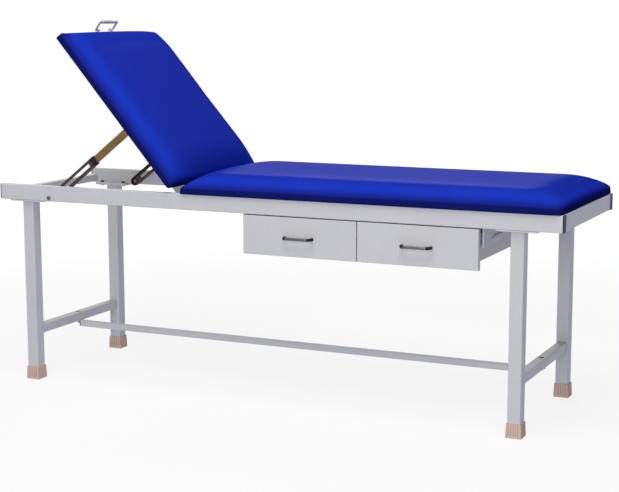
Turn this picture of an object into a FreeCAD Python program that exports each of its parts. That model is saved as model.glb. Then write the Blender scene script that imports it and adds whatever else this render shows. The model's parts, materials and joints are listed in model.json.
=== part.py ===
import FreeCAD
import Part

import math
import os

from FreeCAD import Vector

# Examination table: steel couch frame with a raising backrest on two ratchet struts and two drawers.
# Millimetres. +X runs from the head end to the foot end, the drawers face -Y, the floor is Z = 0.
# The origin is on the floor, at the middle of the table's overall length and overall depth.

# Top frame
FRAME_LENGTH = 1900.0
FRAME_WIDTH = 565.0
FRAME_TOP = 655.0
RAIL_HEIGHT = 50.0
RAIL_WIDTH = 25.0
RAIL_WALL = 1.5
HEAD_RAIL_HEIGHT = 25.0
HEAD_RAIL_LIFT = 5.0
TUBE_CORNER = 2.5
PLUG_FLANGE = 3.0
PLUG_DEPTH = 18.0
PLUG_CLEARANCE = 0.1
HINGE_RAIL_FROM_HEAD = 672.0

# Hexagon bolts and nuts, as shares of the thread, and the room that a bolt has in its hole
HEX_ACROSS_FLATS = 1.6
HEX_HEAD_HEIGHT = 0.7
HEX_NUT_HEIGHT = 0.8
BOLT_HOLE_CLEARANCE = 0.5

# Legs, feet and stretchers
HEAD_LEG_FROM_HEAD = 98.0
FOOT_LEG_FROM_FOOT = 132.0
LEG_SIDE = 40.0
LEG_WALL = 1.5
LEG_SETBACK = 10.0
LEG_PLATE_LENGTH = 121.0
LEG_PLATE_WIDTH = 60.0
LEG_PLATE_THICK = 4.0
LEG_BOLT_SPACING = 88.0
LEG_BOLT = 8.0
LEG_NUT_HEIGHT = 4.0
LEG_BOLT_TIP = 1.0
FOOT_HEIGHT = 43.0
FOOT_FLOOR = 6.0
FOOT_TOP_SIDE = 44.5
FOOT_BOTTOM_SIDE = 48.0
FOOT_CLEARANCE = 0.1
FOOT_GROOVES = 5
FOOT_GROOVE_PITCH = 7.5
FOOT_GROOVE_WIDTH = 2.0
CROSS_STRETCHER_SIDE = 30.0
CROSS_STRETCHER_BOTTOM = 150.0
LONG_STRETCHER_SIDE = 20.0
LONG_STRETCHER_TAB = 4.0
LONG_STRETCHER_TAB_SETBACK = 3.0
STRETCHER_WALL = 1.5
STRETCHER_BOLT = 8.0
SPANNER_HOLE = 16.0

# Cushions and boards
CUSHION_OVERHANG = 12.0
CUSHION_THICK = 70.0
CUSHION_CROWN = 18.0
CUSHION_ROLL = 128.0
CUSHION_EDGE_HEIGHT = 15.0
CUSHION_DRAW_IN = 8.0
CUSHION_CORNER = 24.0
CUSHION_STEPS = 24
SEAT_HEAD_GAP = 11.4
BOARD_THICK = 12.0
BOARD_INSET = 9.0
SEAT_SCREW = 6.0
SEAT_SCREW_BITE = 8.0

# Backrest, its hinge and its bearers
BACKREST_ANGLE = 49.1
BACKREST_LENGTH = 636.0
BACKREST_FOOT_GAP = 11.0
BACKREST_RAIL_GAP = 0.5
HINGE_ABOVE_UNDERSIDE = 10.0
HINGE_PIN = 8.0
HINGE_CLEARANCE = 0.05
HINGE_EYE = 16.0
HINGE_SIDE_GAP = 0.5
EAR_THICK = 5.0
EAR_DROP = 40.0
BEARER_FROM_RAIL_FACE = 74.0
BEARER_LEG = 30.0
BEARER_THICK = 4.0
BEARER_HEAD_STOP = 60.0
BEARER_SCREW = 5.0

# Ratchet struts
STRUT_FOOT_FROM_HEAD = 189.0
STRUT_FOOT_IN_RAIL = 11.5
STRUT_FROM_RAIL_FACE = 35.0
STRUT_BOLT = 8.0
CHANNEL_WIDTH = 30.0
CHANNEL_DEPTH = 12.0
CHANNEL_WALL = 2.0
CHANNEL_LENGTH = 190.0
CHANNEL_SLOT_WIDTH = 11.0
CHANNEL_SLOT_START = 24.0
CHANNEL_SLOT_END = 178.0
CATCH_LENGTH = 18.0
BAR_WIDTH = 25.0
BAR_THICK = 5.0
BAR_CLEARANCE = 0.4
BAR_OVERLAP = 12.0
PIN_UP_BOARD = 255.0
PIN_BELOW_BOARD = 19.0
TOP_PIN = 8.0
TOP_PIN_HEAD = 2.0
TOP_PIN_TIP = 3.0
WINDOW_LENGTH = 62.0
WINDOW_HEIGHT = 26.0
WINDOW_HEAD_MARGIN = 7.0
WINDOW_RIM = 4.0
WINDOW_TOP = 8.0

# Pull handle on the head end of the backrest
BAIL_WIDTH = 108.0
BAIL_REACH = 33.0
BAIL_ROD = 7.0
BAIL_GRIP = 12.0
BAIL_STUB = 14.0
BAIL_BEYOND_CUSHION = 15.0
BAIL_ABOVE_UNDERSIDE = 8.0
BAIL_ANGLE = 52.0
BAIL_CLEARANCE = 0.1
STRAP_WIDTH = 12.0
STRAP_SIDE_GAP = 0.5
STRAP_THICK = 3.0
STRAP_TAIL = 42.0
STRAP_SCREW = 4.0

# Drawers
DRAWER_FROM_FOOT_LEG = 91.0
DRAWER_FRONT_WIDTH = 376.0
DRAWER_FRONT_GAP = 3.0
DRAWER_FRONT_HEIGHT = 120.0
DRAWER_FRONT_THICK = 18.0
DRAWER_FRONT_EDGE = 1.5
DRAWER_TOP_GAP = 3.0
TRAY_BELOW_RAIL = 100.0
TRAY_HEIGHT = 80.0
TRAY_DEPTH = 412.0
TRAY_SHEET = 1.2
TRAY_LIP = 9.5
HANGER_SHEET = 2.0
HANGER_DROP = 60.0
HANGER_DEPTH = 420.0
HANGER_SETBACK = 22.0
HANGER_FLANGE = 18.0
HANGER_FROM_EDGE = -6.0
HANGER_FOLD = 2.5
RUNNER_WIDTH = 10.0
RUNNER_SETBACK = 24.0
RUNNER_HEIGHT = 12.0
RUNNER_GAP = 0.3
RUNNER_SIDE_GAP = 0.5
PULL_WIDTH = 104.0
PULL_POST = 13.0
PULL_HEIGHT = 10.0
PULL_PROJECTION = 26.0
PULL_BAR_THICK = 8.0
PULL_EDGE = 3.0
PULL_BELOW_FRONT_TOP = 62.0
PULL_SCREW = 4.0
FRONT_SCREW = 4.0
FRONT_SCREW_BITE = 10.0
FRONT_SCREW_SPACING = 260.0

# Places worked out from the sizes above
HEAD_X = -FRAME_LENGTH / 2
FOOT_X = FRAME_LENGTH / 2
FRONT_Y = -FRAME_WIDTH / 2
RAIL_BOTTOM = FRAME_TOP - RAIL_HEIGHT
CENTRE_LINE_Y = (PULL_PROJECTION - CUSHION_OVERHANG) / 2
HEAD_LEG_X = HEAD_X + HEAD_LEG_FROM_HEAD
FOOT_LEG_X = FOOT_X - FOOT_LEG_FROM_FOOT
LEG_TOP = RAIL_BOTTOM - LEG_PLATE_THICK
LEG_Y = FRONT_Y + LEG_SETBACK + LEG_SIDE / 2
LEG_BOLT_Y = FRONT_Y + (RAIL_WIDTH + LEG_PLATE_WIDTH) / 2
HINGE_RAIL_X = HEAD_X + HINGE_RAIL_FROM_HEAD
HINGE_X = HINGE_RAIL_X - SEAT_HEAD_GAP
BACKREST_UNDERSIDE = FRAME_TOP + BACKREST_RAIL_GAP
HINGE_Z = BACKREST_UNDERSIDE + HINGE_ABOVE_UNDERSIDE
HALF_WIDTH = FRAME_WIDTH / 2 + CUSHION_OVERHANG
SEAT_FOOT_X = FOOT_X + PLUG_FLANGE
BEARER_Y = FRONT_Y + BEARER_FROM_RAIL_FACE
STRUT_X = HEAD_X + STRUT_FOOT_FROM_HEAD
STRUT_FOOT_HEIGHT = RAIL_BOTTOM + STRUT_FOOT_IN_RAIL
STRUT_Y = FRONT_Y + STRUT_FROM_RAIL_FACE
DRAWER_FOOT_EDGE = FOOT_LEG_X - LEG_SIDE / 2 - DRAWER_FROM_FOOT_LEG
DRAWER_HEAD_EDGE = DRAWER_FOOT_EDGE - 2 * DRAWER_FRONT_WIDTH - DRAWER_FRONT_GAP
FRONT_TOP = RAIL_BOTTOM - DRAWER_TOP_GAP
TRAY_FLOOR = RAIL_BOTTOM - TRAY_BELOW_RAIL
TRAY_TOP = TRAY_FLOOR + TRAY_HEIGHT
PULL_Z = FRONT_TOP - PULL_BELOW_FRONT_TOP
STRAP_Y = BAIL_WIDTH / 2 - BAIL_ROD - STRAP_SIDE_GAP - STRAP_WIDTH / 2

X_AXIS = Vector(1, 0, 0)
Y_AXIS = Vector(0, 1, 0)
Z_AXIS = Vector(0, 0, 1)


def block(x0, x1, y0, y1, z0, z1):
    """Return a box between two corners."""
    return Part.makeBox(x1 - x0, y1 - y0, z1 - z0, Vector(x0, y0, z0))


def rod(diameter, start, end):
    """Return a round bar between two points."""
    along = end.sub(start)
    return Part.makeCylinder(diameter / 2, along.Length, start, along)


def hexagon(across_flats, height, base, axis):
    """Return a hexagonal prism standing on a point."""
    side = across_flats / math.sqrt(3)
    points = [Vector(side * math.cos(math.radians(60 * i)), side * math.sin(math.radians(60 * i)), 0)
              for i in range(7)]
    prism = Part.Face(Part.makePolygon(points)).extrude(Vector(0, 0, height))
    prism.Placement = FreeCAD.Placement(base, FreeCAD.Rotation(Z_AXIS, axis))
    return prism


def round_edges(shape, axis, radius):
    """Return a box with its straight edges along one axis rounded."""
    edges = [edge for edge in shape.Edges if abs(edge.tangentAt(edge.FirstParameter).dot(axis)) > 0.999]
    return shape.makeFillet(radius, edges)


def box_tube(x0, x1, y0, y1, z0, z1, wall, along):
    """Return a rectangular tube with rounded corners that is open at both ends of one axis."""
    inset = {"x": (0, wall, wall), "y": (wall, 0, wall), "z": (wall, wall, 0)}[along]
    axis = {"x": X_AXIS, "y": Y_AXIS, "z": Z_AXIS}[along]
    bore = block(x0 + inset[0], x1 - inset[0], y0 + inset[1], y1 - inset[1], z0 + inset[2], z1 - inset[2])
    return round_edges(block(x0, x1, y0, y1, z0, z1), axis, TUBE_CORNER).cut(bore)


def mirrored(shape):
    """Return the copy of a front piece on the rear side."""
    return shape.mirror(Vector(0, 0, 0), Y_AXIS)


def pair(shape):
    """Return a front piece and its rear copy as two solids."""
    return [shape, mirrored(shape)]


def raised(shape):
    """Return a backrest piece, drawn lying flat, turned up to the raised position."""
    turned = shape.copy()
    turned.rotate(Vector(HINGE_X, 0, HINGE_Z), Y_AXIS, BACKREST_ANGLE)
    return turned


def export(name, shape):
    """Write one piece, or a list of like pieces, with the origin at the middle of the depth."""
    whole = Part.makeCompound(shape) if isinstance(shape, list) else shape.copy()
    whole.translate(Vector(0, CENTRE_LINE_Y, 0))
    whole.exportStep("parts/" + name + ".step")


def make_top_frame():
    """Make the rails, the cross rails under the seat and the end plugs of the long rails."""
    front_rail = box_tube(HEAD_X, FOOT_X, FRONT_Y, FRONT_Y + RAIL_WIDTH, RAIL_BOTTOM, FRAME_TOP,
                          RAIL_WALL, "x")
    bolt_hole = rod(STRUT_BOLT + BOLT_HOLE_CLEARANCE, Vector(STRUT_X, FRONT_Y - 1, STRUT_FOOT_HEIGHT),
                    Vector(STRUT_X, FRONT_Y + RAIL_WIDTH + 1, STRUT_FOOT_HEIGHT))
    front_rail = front_rail.cut(bolt_hole)
    export("front_long_rail", front_rail)
    export("rear_long_rail", mirrored(front_rail))

    cross_rails = {
        "head_end_rail": HEAD_X,
        "hinge_cross_rail": HINGE_RAIL_X,
        "foot_end_rail": FOOT_X - RAIL_WIDTH,
    }
    inner_y = FRONT_Y + RAIL_WIDTH
    for name, x in cross_rails.items():
        bottom, top = RAIL_BOTTOM, FRAME_TOP
        if name == "head_end_rail":
            bottom = RAIL_BOTTOM + HEAD_RAIL_LIFT
            top = bottom + HEAD_RAIL_HEIGHT
        rail = box_tube(x, x + RAIL_WIDTH, inner_y, -inner_y, bottom, top, RAIL_WALL, "y")
        if name != "head_end_rail":
            rail = rail.cut(Part.makeCompound(seat_screw_holes(x + RAIL_WIDTH / 2)))
        export(name, rail)
    for name, x in zip(("head", "middle", "foot"), hanger_places()):
        bearer = box_tube(x - RAIL_WIDTH / 2, x + RAIL_WIDTH / 2, inner_y, -inner_y,
                          RAIL_BOTTOM, FRAME_TOP, RAIL_WALL, "y")
        export("seat_bearer_" + name, bearer)

    plugs = []
    inset = RAIL_WALL + PLUG_CLEARANCE
    for end, out in ((HEAD_X, -1), (FOOT_X, 1)):
        flange_x = sorted((end, end + out * PLUG_FLANGE))
        stem_x = sorted((end, end - out * PLUG_DEPTH))
        flange = block(flange_x[0], flange_x[1], FRONT_Y, FRONT_Y + RAIL_WIDTH, RAIL_BOTTOM, FRAME_TOP)
        flange = round_edges(flange, X_AXIS, TUBE_CORNER)
        stem = block(stem_x[0], stem_x[1], FRONT_Y + inset, FRONT_Y + RAIL_WIDTH - inset,
                     RAIL_BOTTOM + inset, FRAME_TOP - inset)
        plugs += pair(flange.fuse(stem).removeSplitter())
    export("rail_end_plugs", plugs)


def seat_screw_places(x):
    """Return the feet of the seat screws in one cross rail."""
    spread = FRAME_WIDTH / 3
    return [Vector(x, y, RAIL_BOTTOM) for y in (-spread, 0, spread)]


def seat_screw_holes(x):
    """Return the bores for the seat screws in one cross rail."""
    lift = Vector(0, 0, RAIL_HEIGHT + 1)
    drop = Vector(0, 0, -1)
    return [rod(SEAT_SCREW + BOLT_HOLE_CLEARANCE, p.add(drop), p.add(lift)) for p in seat_screw_places(x)]


def make_legs():
    """Make the four legs with their plates, lugs, bolts and push-on feet."""
    plates = []
    lugs = []
    bolts = []
    nuts = []
    for end, x in (("head", HEAD_LEG_X), ("foot", FOOT_LEG_X)):
        leg = box_tube(x - LEG_SIDE / 2, x + LEG_SIDE / 2, LEG_Y - LEG_SIDE / 2, LEG_Y + LEG_SIDE / 2,
                       FOOT_FLOOR, LEG_TOP, LEG_WALL, "z")
        export("front_" + end + "_leg", leg)
        export("rear_" + end + "_leg", mirrored(leg))

        foot = make_foot(x)
        export("front_" + end + "_foot", foot)
        export("rear_" + end + "_foot", mirrored(foot))

        half = LEG_PLATE_LENGTH / 2
        plate = block(x - half, x + half, FRONT_Y, FRONT_Y + LEG_PLATE_WIDTH, LEG_TOP, RAIL_BOTTOM)
        lug = block(x - half, x + half, FRONT_Y + RAIL_WIDTH, FRONT_Y + LEG_PLATE_WIDTH,
                    RAIL_BOTTOM, RAIL_BOTTOM + LEG_PLATE_THICK)
        for side in (-1, 1):
            seat = Vector(x + side * LEG_BOLT_SPACING / 2, LEG_BOLT_Y, RAIL_BOTTOM + LEG_PLATE_THICK)
            tip = Vector(seat.x, seat.y, LEG_TOP - LEG_NUT_HEIGHT - LEG_BOLT_TIP)
            hole = rod(LEG_BOLT + BOLT_HOLE_CLEARANCE, seat.add(Z_AXIS), tip)
            plate = plate.cut(hole)
            lug = lug.cut(hole)
            head = hexagon(HEX_ACROSS_FLATS * LEG_BOLT, HEX_HEAD_HEIGHT * LEG_BOLT, seat, Z_AXIS)
            bolt = head.fuse(rod(LEG_BOLT, seat, tip))
            nut_seat = Vector(seat.x, seat.y, LEG_TOP)
            nut = hexagon(HEX_ACROSS_FLATS * LEG_BOLT, LEG_NUT_HEIGHT, nut_seat, Z_AXIS.negative())
            bolts += pair(bolt)
            nuts += pair(nut.cut(rod(LEG_BOLT, nut_seat.add(Z_AXIS), tip)))
        plates += pair(plate)
        lugs += pair(lug)
    export("leg_plates", plates)
    export("leg_lugs", lugs)
    export("leg_bolts", bolts)
    export("leg_nuts", nuts)


def square_wire(x, y, z, side):
    """Return a level square outline about a point."""
    h = side / 2
    turns = ((-h, -h), (h, -h), (h, h), (-h, h), (-h, -h))
    return Part.makePolygon([Vector(x + dx, y + dy, z) for dx, dy in turns])


def make_foot(x):
    """Return one ribbed push-on foot, wider at the floor than at its rim."""
    body = Part.makeLoft([square_wire(x, LEG_Y, 0, FOOT_BOTTOM_SIDE),
                          square_wire(x, LEG_Y, FOOT_HEIGHT, FOOT_TOP_SIDE)], True, True)
    half = LEG_SIDE / 2 + FOOT_CLEARANCE
    pocket = block(x - half, x + half, LEG_Y - half, LEG_Y + half, FOOT_FLOOR, FOOT_HEIGHT + 1)
    body = body.cut(pocket)
    groove_floor = (FOOT_TOP_SIDE + LEG_SIDE) / 4 + FOOT_CLEARANCE
    far = FOOT_BOTTOM_SIDE
    grooves = []
    for i in range(FOOT_GROOVES):
        offset = (i - (FOOT_GROOVES - 1) / 2) * FOOT_GROOVE_PITCH
        low = offset - FOOT_GROOVE_WIDTH / 2
        high = offset + FOOT_GROOVE_WIDTH / 2
        for side in (-1, 1):
            reach = sorted((side * groove_floor, side * far))
            across = (x + low, x + high, LEG_Y + reach[0], LEG_Y + reach[1])
            along = (x + reach[0], x + reach[1], LEG_Y + low, LEG_Y + high)
            grooves += [block(*sides, FOOT_FLOOR, FOOT_HEIGHT + 1) for sides in (across, along)]
    return body.cut(Part.makeCompound(grooves))


def make_stretchers():
    """Make the two cross stretchers and the long stretcher, whose tabs are bolted up under them."""
    inner_y = LEG_Y + LEG_SIDE / 2
    half = CROSS_STRETCHER_SIDE / 2
    cross_top = CROSS_STRETCHER_BOTTOM + CROSS_STRETCHER_SIDE
    long_bottom = CROSS_STRETCHER_BOTTOM - LONG_STRETCHER_SIDE
    side = LONG_STRETCHER_SIDE / 2
    head_end = HEAD_LEG_X + half
    foot_end = FOOT_LEG_X - half
    long_tube = box_tube(head_end, foot_end, -side, side, long_bottom, CROSS_STRETCHER_BOTTOM,
                         STRETCHER_WALL, "x")
    tab_bottom = CROSS_STRETCHER_BOTTOM - LONG_STRETCHER_TAB
    tab_reach = CROSS_STRETCHER_SIDE - LONG_STRETCHER_TAB_SETBACK
    tab_side = side - TUBE_CORNER
    for end, out in ((head_end, -1), (foot_end, 1)):
        tab_x = sorted((end - out * LONG_STRETCHER_SIDE, end + out * tab_reach))
        tab = block(tab_x[0], tab_x[1], -tab_side, tab_side, tab_bottom, CROSS_STRETCHER_BOTTOM)
        long_tube = long_tube.fuse(tab)
    long_tube = long_tube.removeSplitter()
    bolts = []
    for end, x in (("head", HEAD_LEG_X), ("foot", FOOT_LEG_X)):
        seat = Vector(x, 0, tab_bottom)
        nut_seat = Vector(x, 0, CROSS_STRETCHER_BOTTOM + STRETCHER_WALL)
        tip = Vector(x, 0, nut_seat.z + STRETCHER_BOLT)
        hole = rod(STRETCHER_BOLT + BOLT_HOLE_CLEARANCE, seat.sub(Z_AXIS), tip)
        spanner = rod(SPANNER_HOLE, Vector(x, 0, cross_top - 2 * STRETCHER_WALL), Vector(x, 0, cross_top + 1))
        cross = box_tube(x - half, x + half, inner_y, -inner_y, CROSS_STRETCHER_BOTTOM, cross_top,
                         STRETCHER_WALL, "y")
        export(end + "_cross_stretcher", cross.cut(hole).cut(spanner))
        long_tube = long_tube.cut(hole)
        across_flats = HEX_ACROSS_FLATS * STRETCHER_BOLT
        head = hexagon(across_flats, HEX_HEAD_HEIGHT * STRETCHER_BOLT, seat, Z_AXIS.negative())
        nut = hexagon(across_flats, HEX_NUT_HEIGHT * STRETCHER_BOLT, nut_seat, Z_AXIS)
        bolts.append(head.fuse(rod(STRETCHER_BOLT, seat, tip)))
        bolts.append(nut.cut(rod(STRETCHER_BOLT, seat, tip)))
    export("long_stretcher", long_tube)
    export("stretcher_bolts", bolts)

    inset = STRETCHER_WALL + PLUG_CLEARANCE
    plugs = []
    for end, out in ((head_end, -1), (foot_end, 1)):
        flange_x = sorted((end, end + out * PLUG_FLANGE))
        stem_x = sorted((end, end - out * LONG_STRETCHER_SIDE / 2))
        flange = block(flange_x[0], flange_x[1], -side, side, long_bottom, CROSS_STRETCHER_BOTTOM)
        flange = round_edges(flange, X_AXIS, TUBE_CORNER)
        flange = flange.cut(block(flange_x[0], flange_x[1], -side, side, tab_bottom, CROSS_STRETCHER_BOTTOM))
        stem = block(stem_x[0], stem_x[1], -side + inset, side - inset,
                     long_bottom + inset, tab_bottom - PLUG_CLEARANCE)
        plugs.append(flange.fuse(stem).removeSplitter())
    export("stretcher_plugs", plugs)


def rolled(inset, reach):
    """Return how far an edge has risen, from 0 to 1, as a quarter ellipse of the distance in from it."""
    return math.sqrt(1 - (max(reach - inset, 0) / reach) ** 2)


def cushion_section(x, inset, base):
    """Return the outline of a cushion across its width, a distance in from one end."""
    half = HALF_WIDTH - CUSHION_CORNER * (1 - rolled(inset, CUSHION_CORNER))
    bottom = base + CUSHION_EDGE_HEIGHT / 2 * (1 - rolled(inset, CUSHION_DRAW_IN))
    edge = base + CUSHION_EDGE_HEIGHT
    foot = half - CUSHION_DRAW_IN
    shoulder = CUSHION_THICK - CUSHION_EDGE_HEIGHT - CUSHION_CROWN

    def at(y, z):
        return Vector(x, y, z)

    top_points = []
    for step in range(CUSHION_STEPS + 1):
        y = half * math.cos(math.pi * step / CUSHION_STEPS)
        lift = rolled(inset, CUSHION_ROLL) * rolled(half - abs(y), CUSHION_ROLL)
        rise = shoulder + CUSHION_CROWN * (1 - (y / HALF_WIDTH) ** 2)
        top_points.append(at(y, edge + lift * rise))
    right = Part.makeLine(at(foot, bottom), at(half, edge))
    left = Part.makeLine(at(-half, edge), at(-foot, bottom))
    under = Part.makeLine(at(-foot, bottom), at(foot, bottom))
    over = Part.BSplineCurve()
    over.buildFromPoles(top_points, False, 2)
    return Part.Wire([right, over.toShape(), left, under])


def cushion(x0, x1, base):
    """Return a crowned cushion with widely rolled edges, over its board, drawn in at the underside."""
    angles = [math.pi * step / CUSHION_STEPS for step in range(CUSHION_STEPS // 2 + 1)]
    insets = [CUSHION_ROLL * (1 - math.cos(angle)) for angle in angles]
    wires = [cushion_section(x0 + inset, inset, base) for inset in insets]
    wires += [cushion_section(x1 - inset, inset, base) for inset in reversed(insets)]
    return Part.makeLoft(wires, True, True)


def board(x0, x1, base):
    """Return the board that a cushion is upholstered on."""
    half = HALF_WIDTH - BOARD_INSET
    panel = block(x0 + BOARD_INSET, x1 - BOARD_INSET, -half, half, base, base + BOARD_THICK)
    return round_edges(panel, Z_AXIS, CUSHION_CORNER - BOARD_INSET)


def make_seat():
    """Make the fixed seat: board, cushion and the screws that hold it to the cross rails."""
    panel = board(HINGE_RAIL_X, SEAT_FOOT_X, FRAME_TOP)
    pad = cushion(HINGE_RAIL_X, SEAT_FOOT_X, FRAME_TOP).cut(panel)
    screws = []
    for x in (HINGE_RAIL_X + RAIL_WIDTH / 2, FOOT_X - RAIL_WIDTH / 2):
        for place in seat_screw_places(x):
            tip = Vector(place.x, place.y, FRAME_TOP + SEAT_SCREW_BITE)
            panel = panel.cut(rod(SEAT_SCREW, place, tip))
            head = rod(2 * SEAT_SCREW, place, place.sub(Vector(0, 0, SEAT_SCREW / 2)))
            screws.append(head.fuse(rod(SEAT_SCREW, place, tip)))
    export("seat_board", panel)
    export("seat_cushion", pad)
    export("seat_screws", screws)


def make_backrest():
    """Make the raising backrest with its bearers, drawn flat and then turned up."""
    head_x = HINGE_X - BACKREST_LENGTH
    foot_x = HINGE_X - BACKREST_FOOT_GAP
    panel = board(head_x, foot_x, BACKREST_UNDERSIDE)
    pad = cushion(head_x, foot_x, BACKREST_UNDERSIDE).cut(panel)

    bearer = make_bearer()
    screws = []
    for sign in (-1, 1):
        leg_y = sign * (-BEARER_Y - BEARER_THICK - (BEARER_LEG - BEARER_THICK) / 2)
        low = BEARER_HEAD_STOP + BOARD_INSET
        high = BACKREST_LENGTH - 2 * BEARER_HEAD_STOP
        for along in (low, (low + high) / 2, high):
            seat = Vector(HINGE_X - along, leg_y, BACKREST_UNDERSIDE - BEARER_THICK)
            tip = Vector(seat.x, seat.y, BACKREST_UNDERSIDE + BOARD_THICK / 2)
            panel = panel.cut(rod(BEARER_SCREW, seat, tip))
            head = rod(2 * BEARER_SCREW, seat, seat.sub(Vector(0, 0, BEARER_SCREW / 2)))
            screws.append(raised(head.fuse(rod(BEARER_SCREW, seat, tip))))
            hole = rod(BEARER_SCREW + BOLT_HOLE_CLEARANCE, seat.sub(Z_AXIS), tip)
            bearer = bearer.cut(hole)
    straps = Part.makeCompound(handle_straps() + strap_screws())
    panel = panel.cut(straps)
    pad = pad.cut(straps)
    export("backrest_board", raised(panel))
    export("backrest_cushion", raised(pad))
    export("front_backrest_bearer", raised(bearer))
    export("rear_backrest_bearer", raised(mirrored(bearer)))
    export("bearer_screws", screws)


def make_bearer():
    """Return the front angle bearer with its hinge eye and the window for the strut pin."""
    y0 = BEARER_Y
    y1 = BEARER_Y + BEARER_THICK
    under = BACKREST_UNDERSIDE
    start = HINGE_X - BACKREST_LENGTH + BEARER_HEAD_STOP
    eye_half = HINGE_EYE / 2
    flange = block(start, HINGE_X - BACKREST_FOOT_GAP - BOARD_INSET, y0, y0 + BEARER_LEG,
                   under - BEARER_THICK, under)
    web = block(start, HINGE_X + eye_half, y0, y1, under - BEARER_LEG, under)
    neck = block(HINGE_X - eye_half, HINGE_X + eye_half, y0, y1, under - BEARER_LEG, HINGE_Z)
    eye = rod(HINGE_EYE, Vector(HINGE_X, y0, HINGE_Z), Vector(HINGE_X, y1, HINGE_Z))
    head_side = HINGE_X - PIN_UP_BOARD - WINDOW_HEAD_MARGIN
    window_top = under - WINDOW_TOP
    window = block(head_side, head_side + WINDOW_LENGTH, y0 - 1, y1 + 1,
                   window_top - WINDOW_HEIGHT, window_top)
    cheek = block(head_side - WINDOW_RIM, head_side + WINDOW_LENGTH + WINDOW_RIM, y0, y1,
                  window_top - WINDOW_HEIGHT - WINDOW_RIM, under)
    bore = rod(HINGE_PIN + 2 * HINGE_CLEARANCE, Vector(HINGE_X, y0 - 1, HINGE_Z),
               Vector(HINGE_X, y1 + 1, HINGE_Z))
    return flange.fuse([web, neck, eye, cheek]).removeSplitter().cut(window).cut(bore)


def make_hinge():
    """Make the hinge ears on the cross rail and the hinge pins."""
    ear_y1 = BEARER_Y - HINGE_SIDE_GAP
    ear_y0 = ear_y1 - EAR_THICK
    eye_half = HINGE_EYE / 2
    ear = block(HINGE_X - eye_half, HINGE_RAIL_X, ear_y0, ear_y1, FRAME_TOP - EAR_DROP, FRAME_TOP)
    neck = block(HINGE_X - eye_half, HINGE_X + eye_half, ear_y0, ear_y1, FRAME_TOP - EAR_DROP, HINGE_Z)
    eye = rod(HINGE_EYE, Vector(HINGE_X, ear_y0, HINGE_Z), Vector(HINGE_X, ear_y1, HINGE_Z))
    ear = ear.fuse([neck, eye])
    bore = rod(HINGE_PIN, Vector(HINGE_X, ear_y0 - 1, HINGE_Z), Vector(HINGE_X, ear_y1 + 1, HINGE_Z))
    export("hinge_ears", pair(ear.removeSplitter().cut(bore)))

    head_y = ear_y0 - HINGE_PIN / 2
    clip_y = BEARER_Y + BEARER_THICK + HINGE_SIDE_GAP
    tip_y = clip_y + HINGE_PIN / 2
    shank = rod(HINGE_PIN, Vector(HINGE_X, head_y, HINGE_Z), Vector(HINGE_X, tip_y, HINGE_Z))
    head = rod(HINGE_PIN + 6, Vector(HINGE_X, head_y, HINGE_Z), Vector(HINGE_X, ear_y0, HINGE_Z))
    clip = rod(HINGE_PIN + 6, Vector(HINGE_X, clip_y, HINGE_Z), Vector(HINGE_X, tip_y, HINGE_Z))
    export("hinge_pins", pair(shank.fuse([head, clip])))


def strut_pin_place():
    """Return where the strut's top pin stands when the backrest is raised."""
    angle = math.radians(BACKREST_ANGLE)
    along = -PIN_UP_BOARD
    up = -PIN_BELOW_BOARD - HINGE_ABOVE_UNDERSIDE
    return Vector(HINGE_X + along * math.cos(angle) + up * math.sin(angle), STRUT_Y,
                  HINGE_Z - along * math.sin(angle) + up * math.cos(angle))


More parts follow.
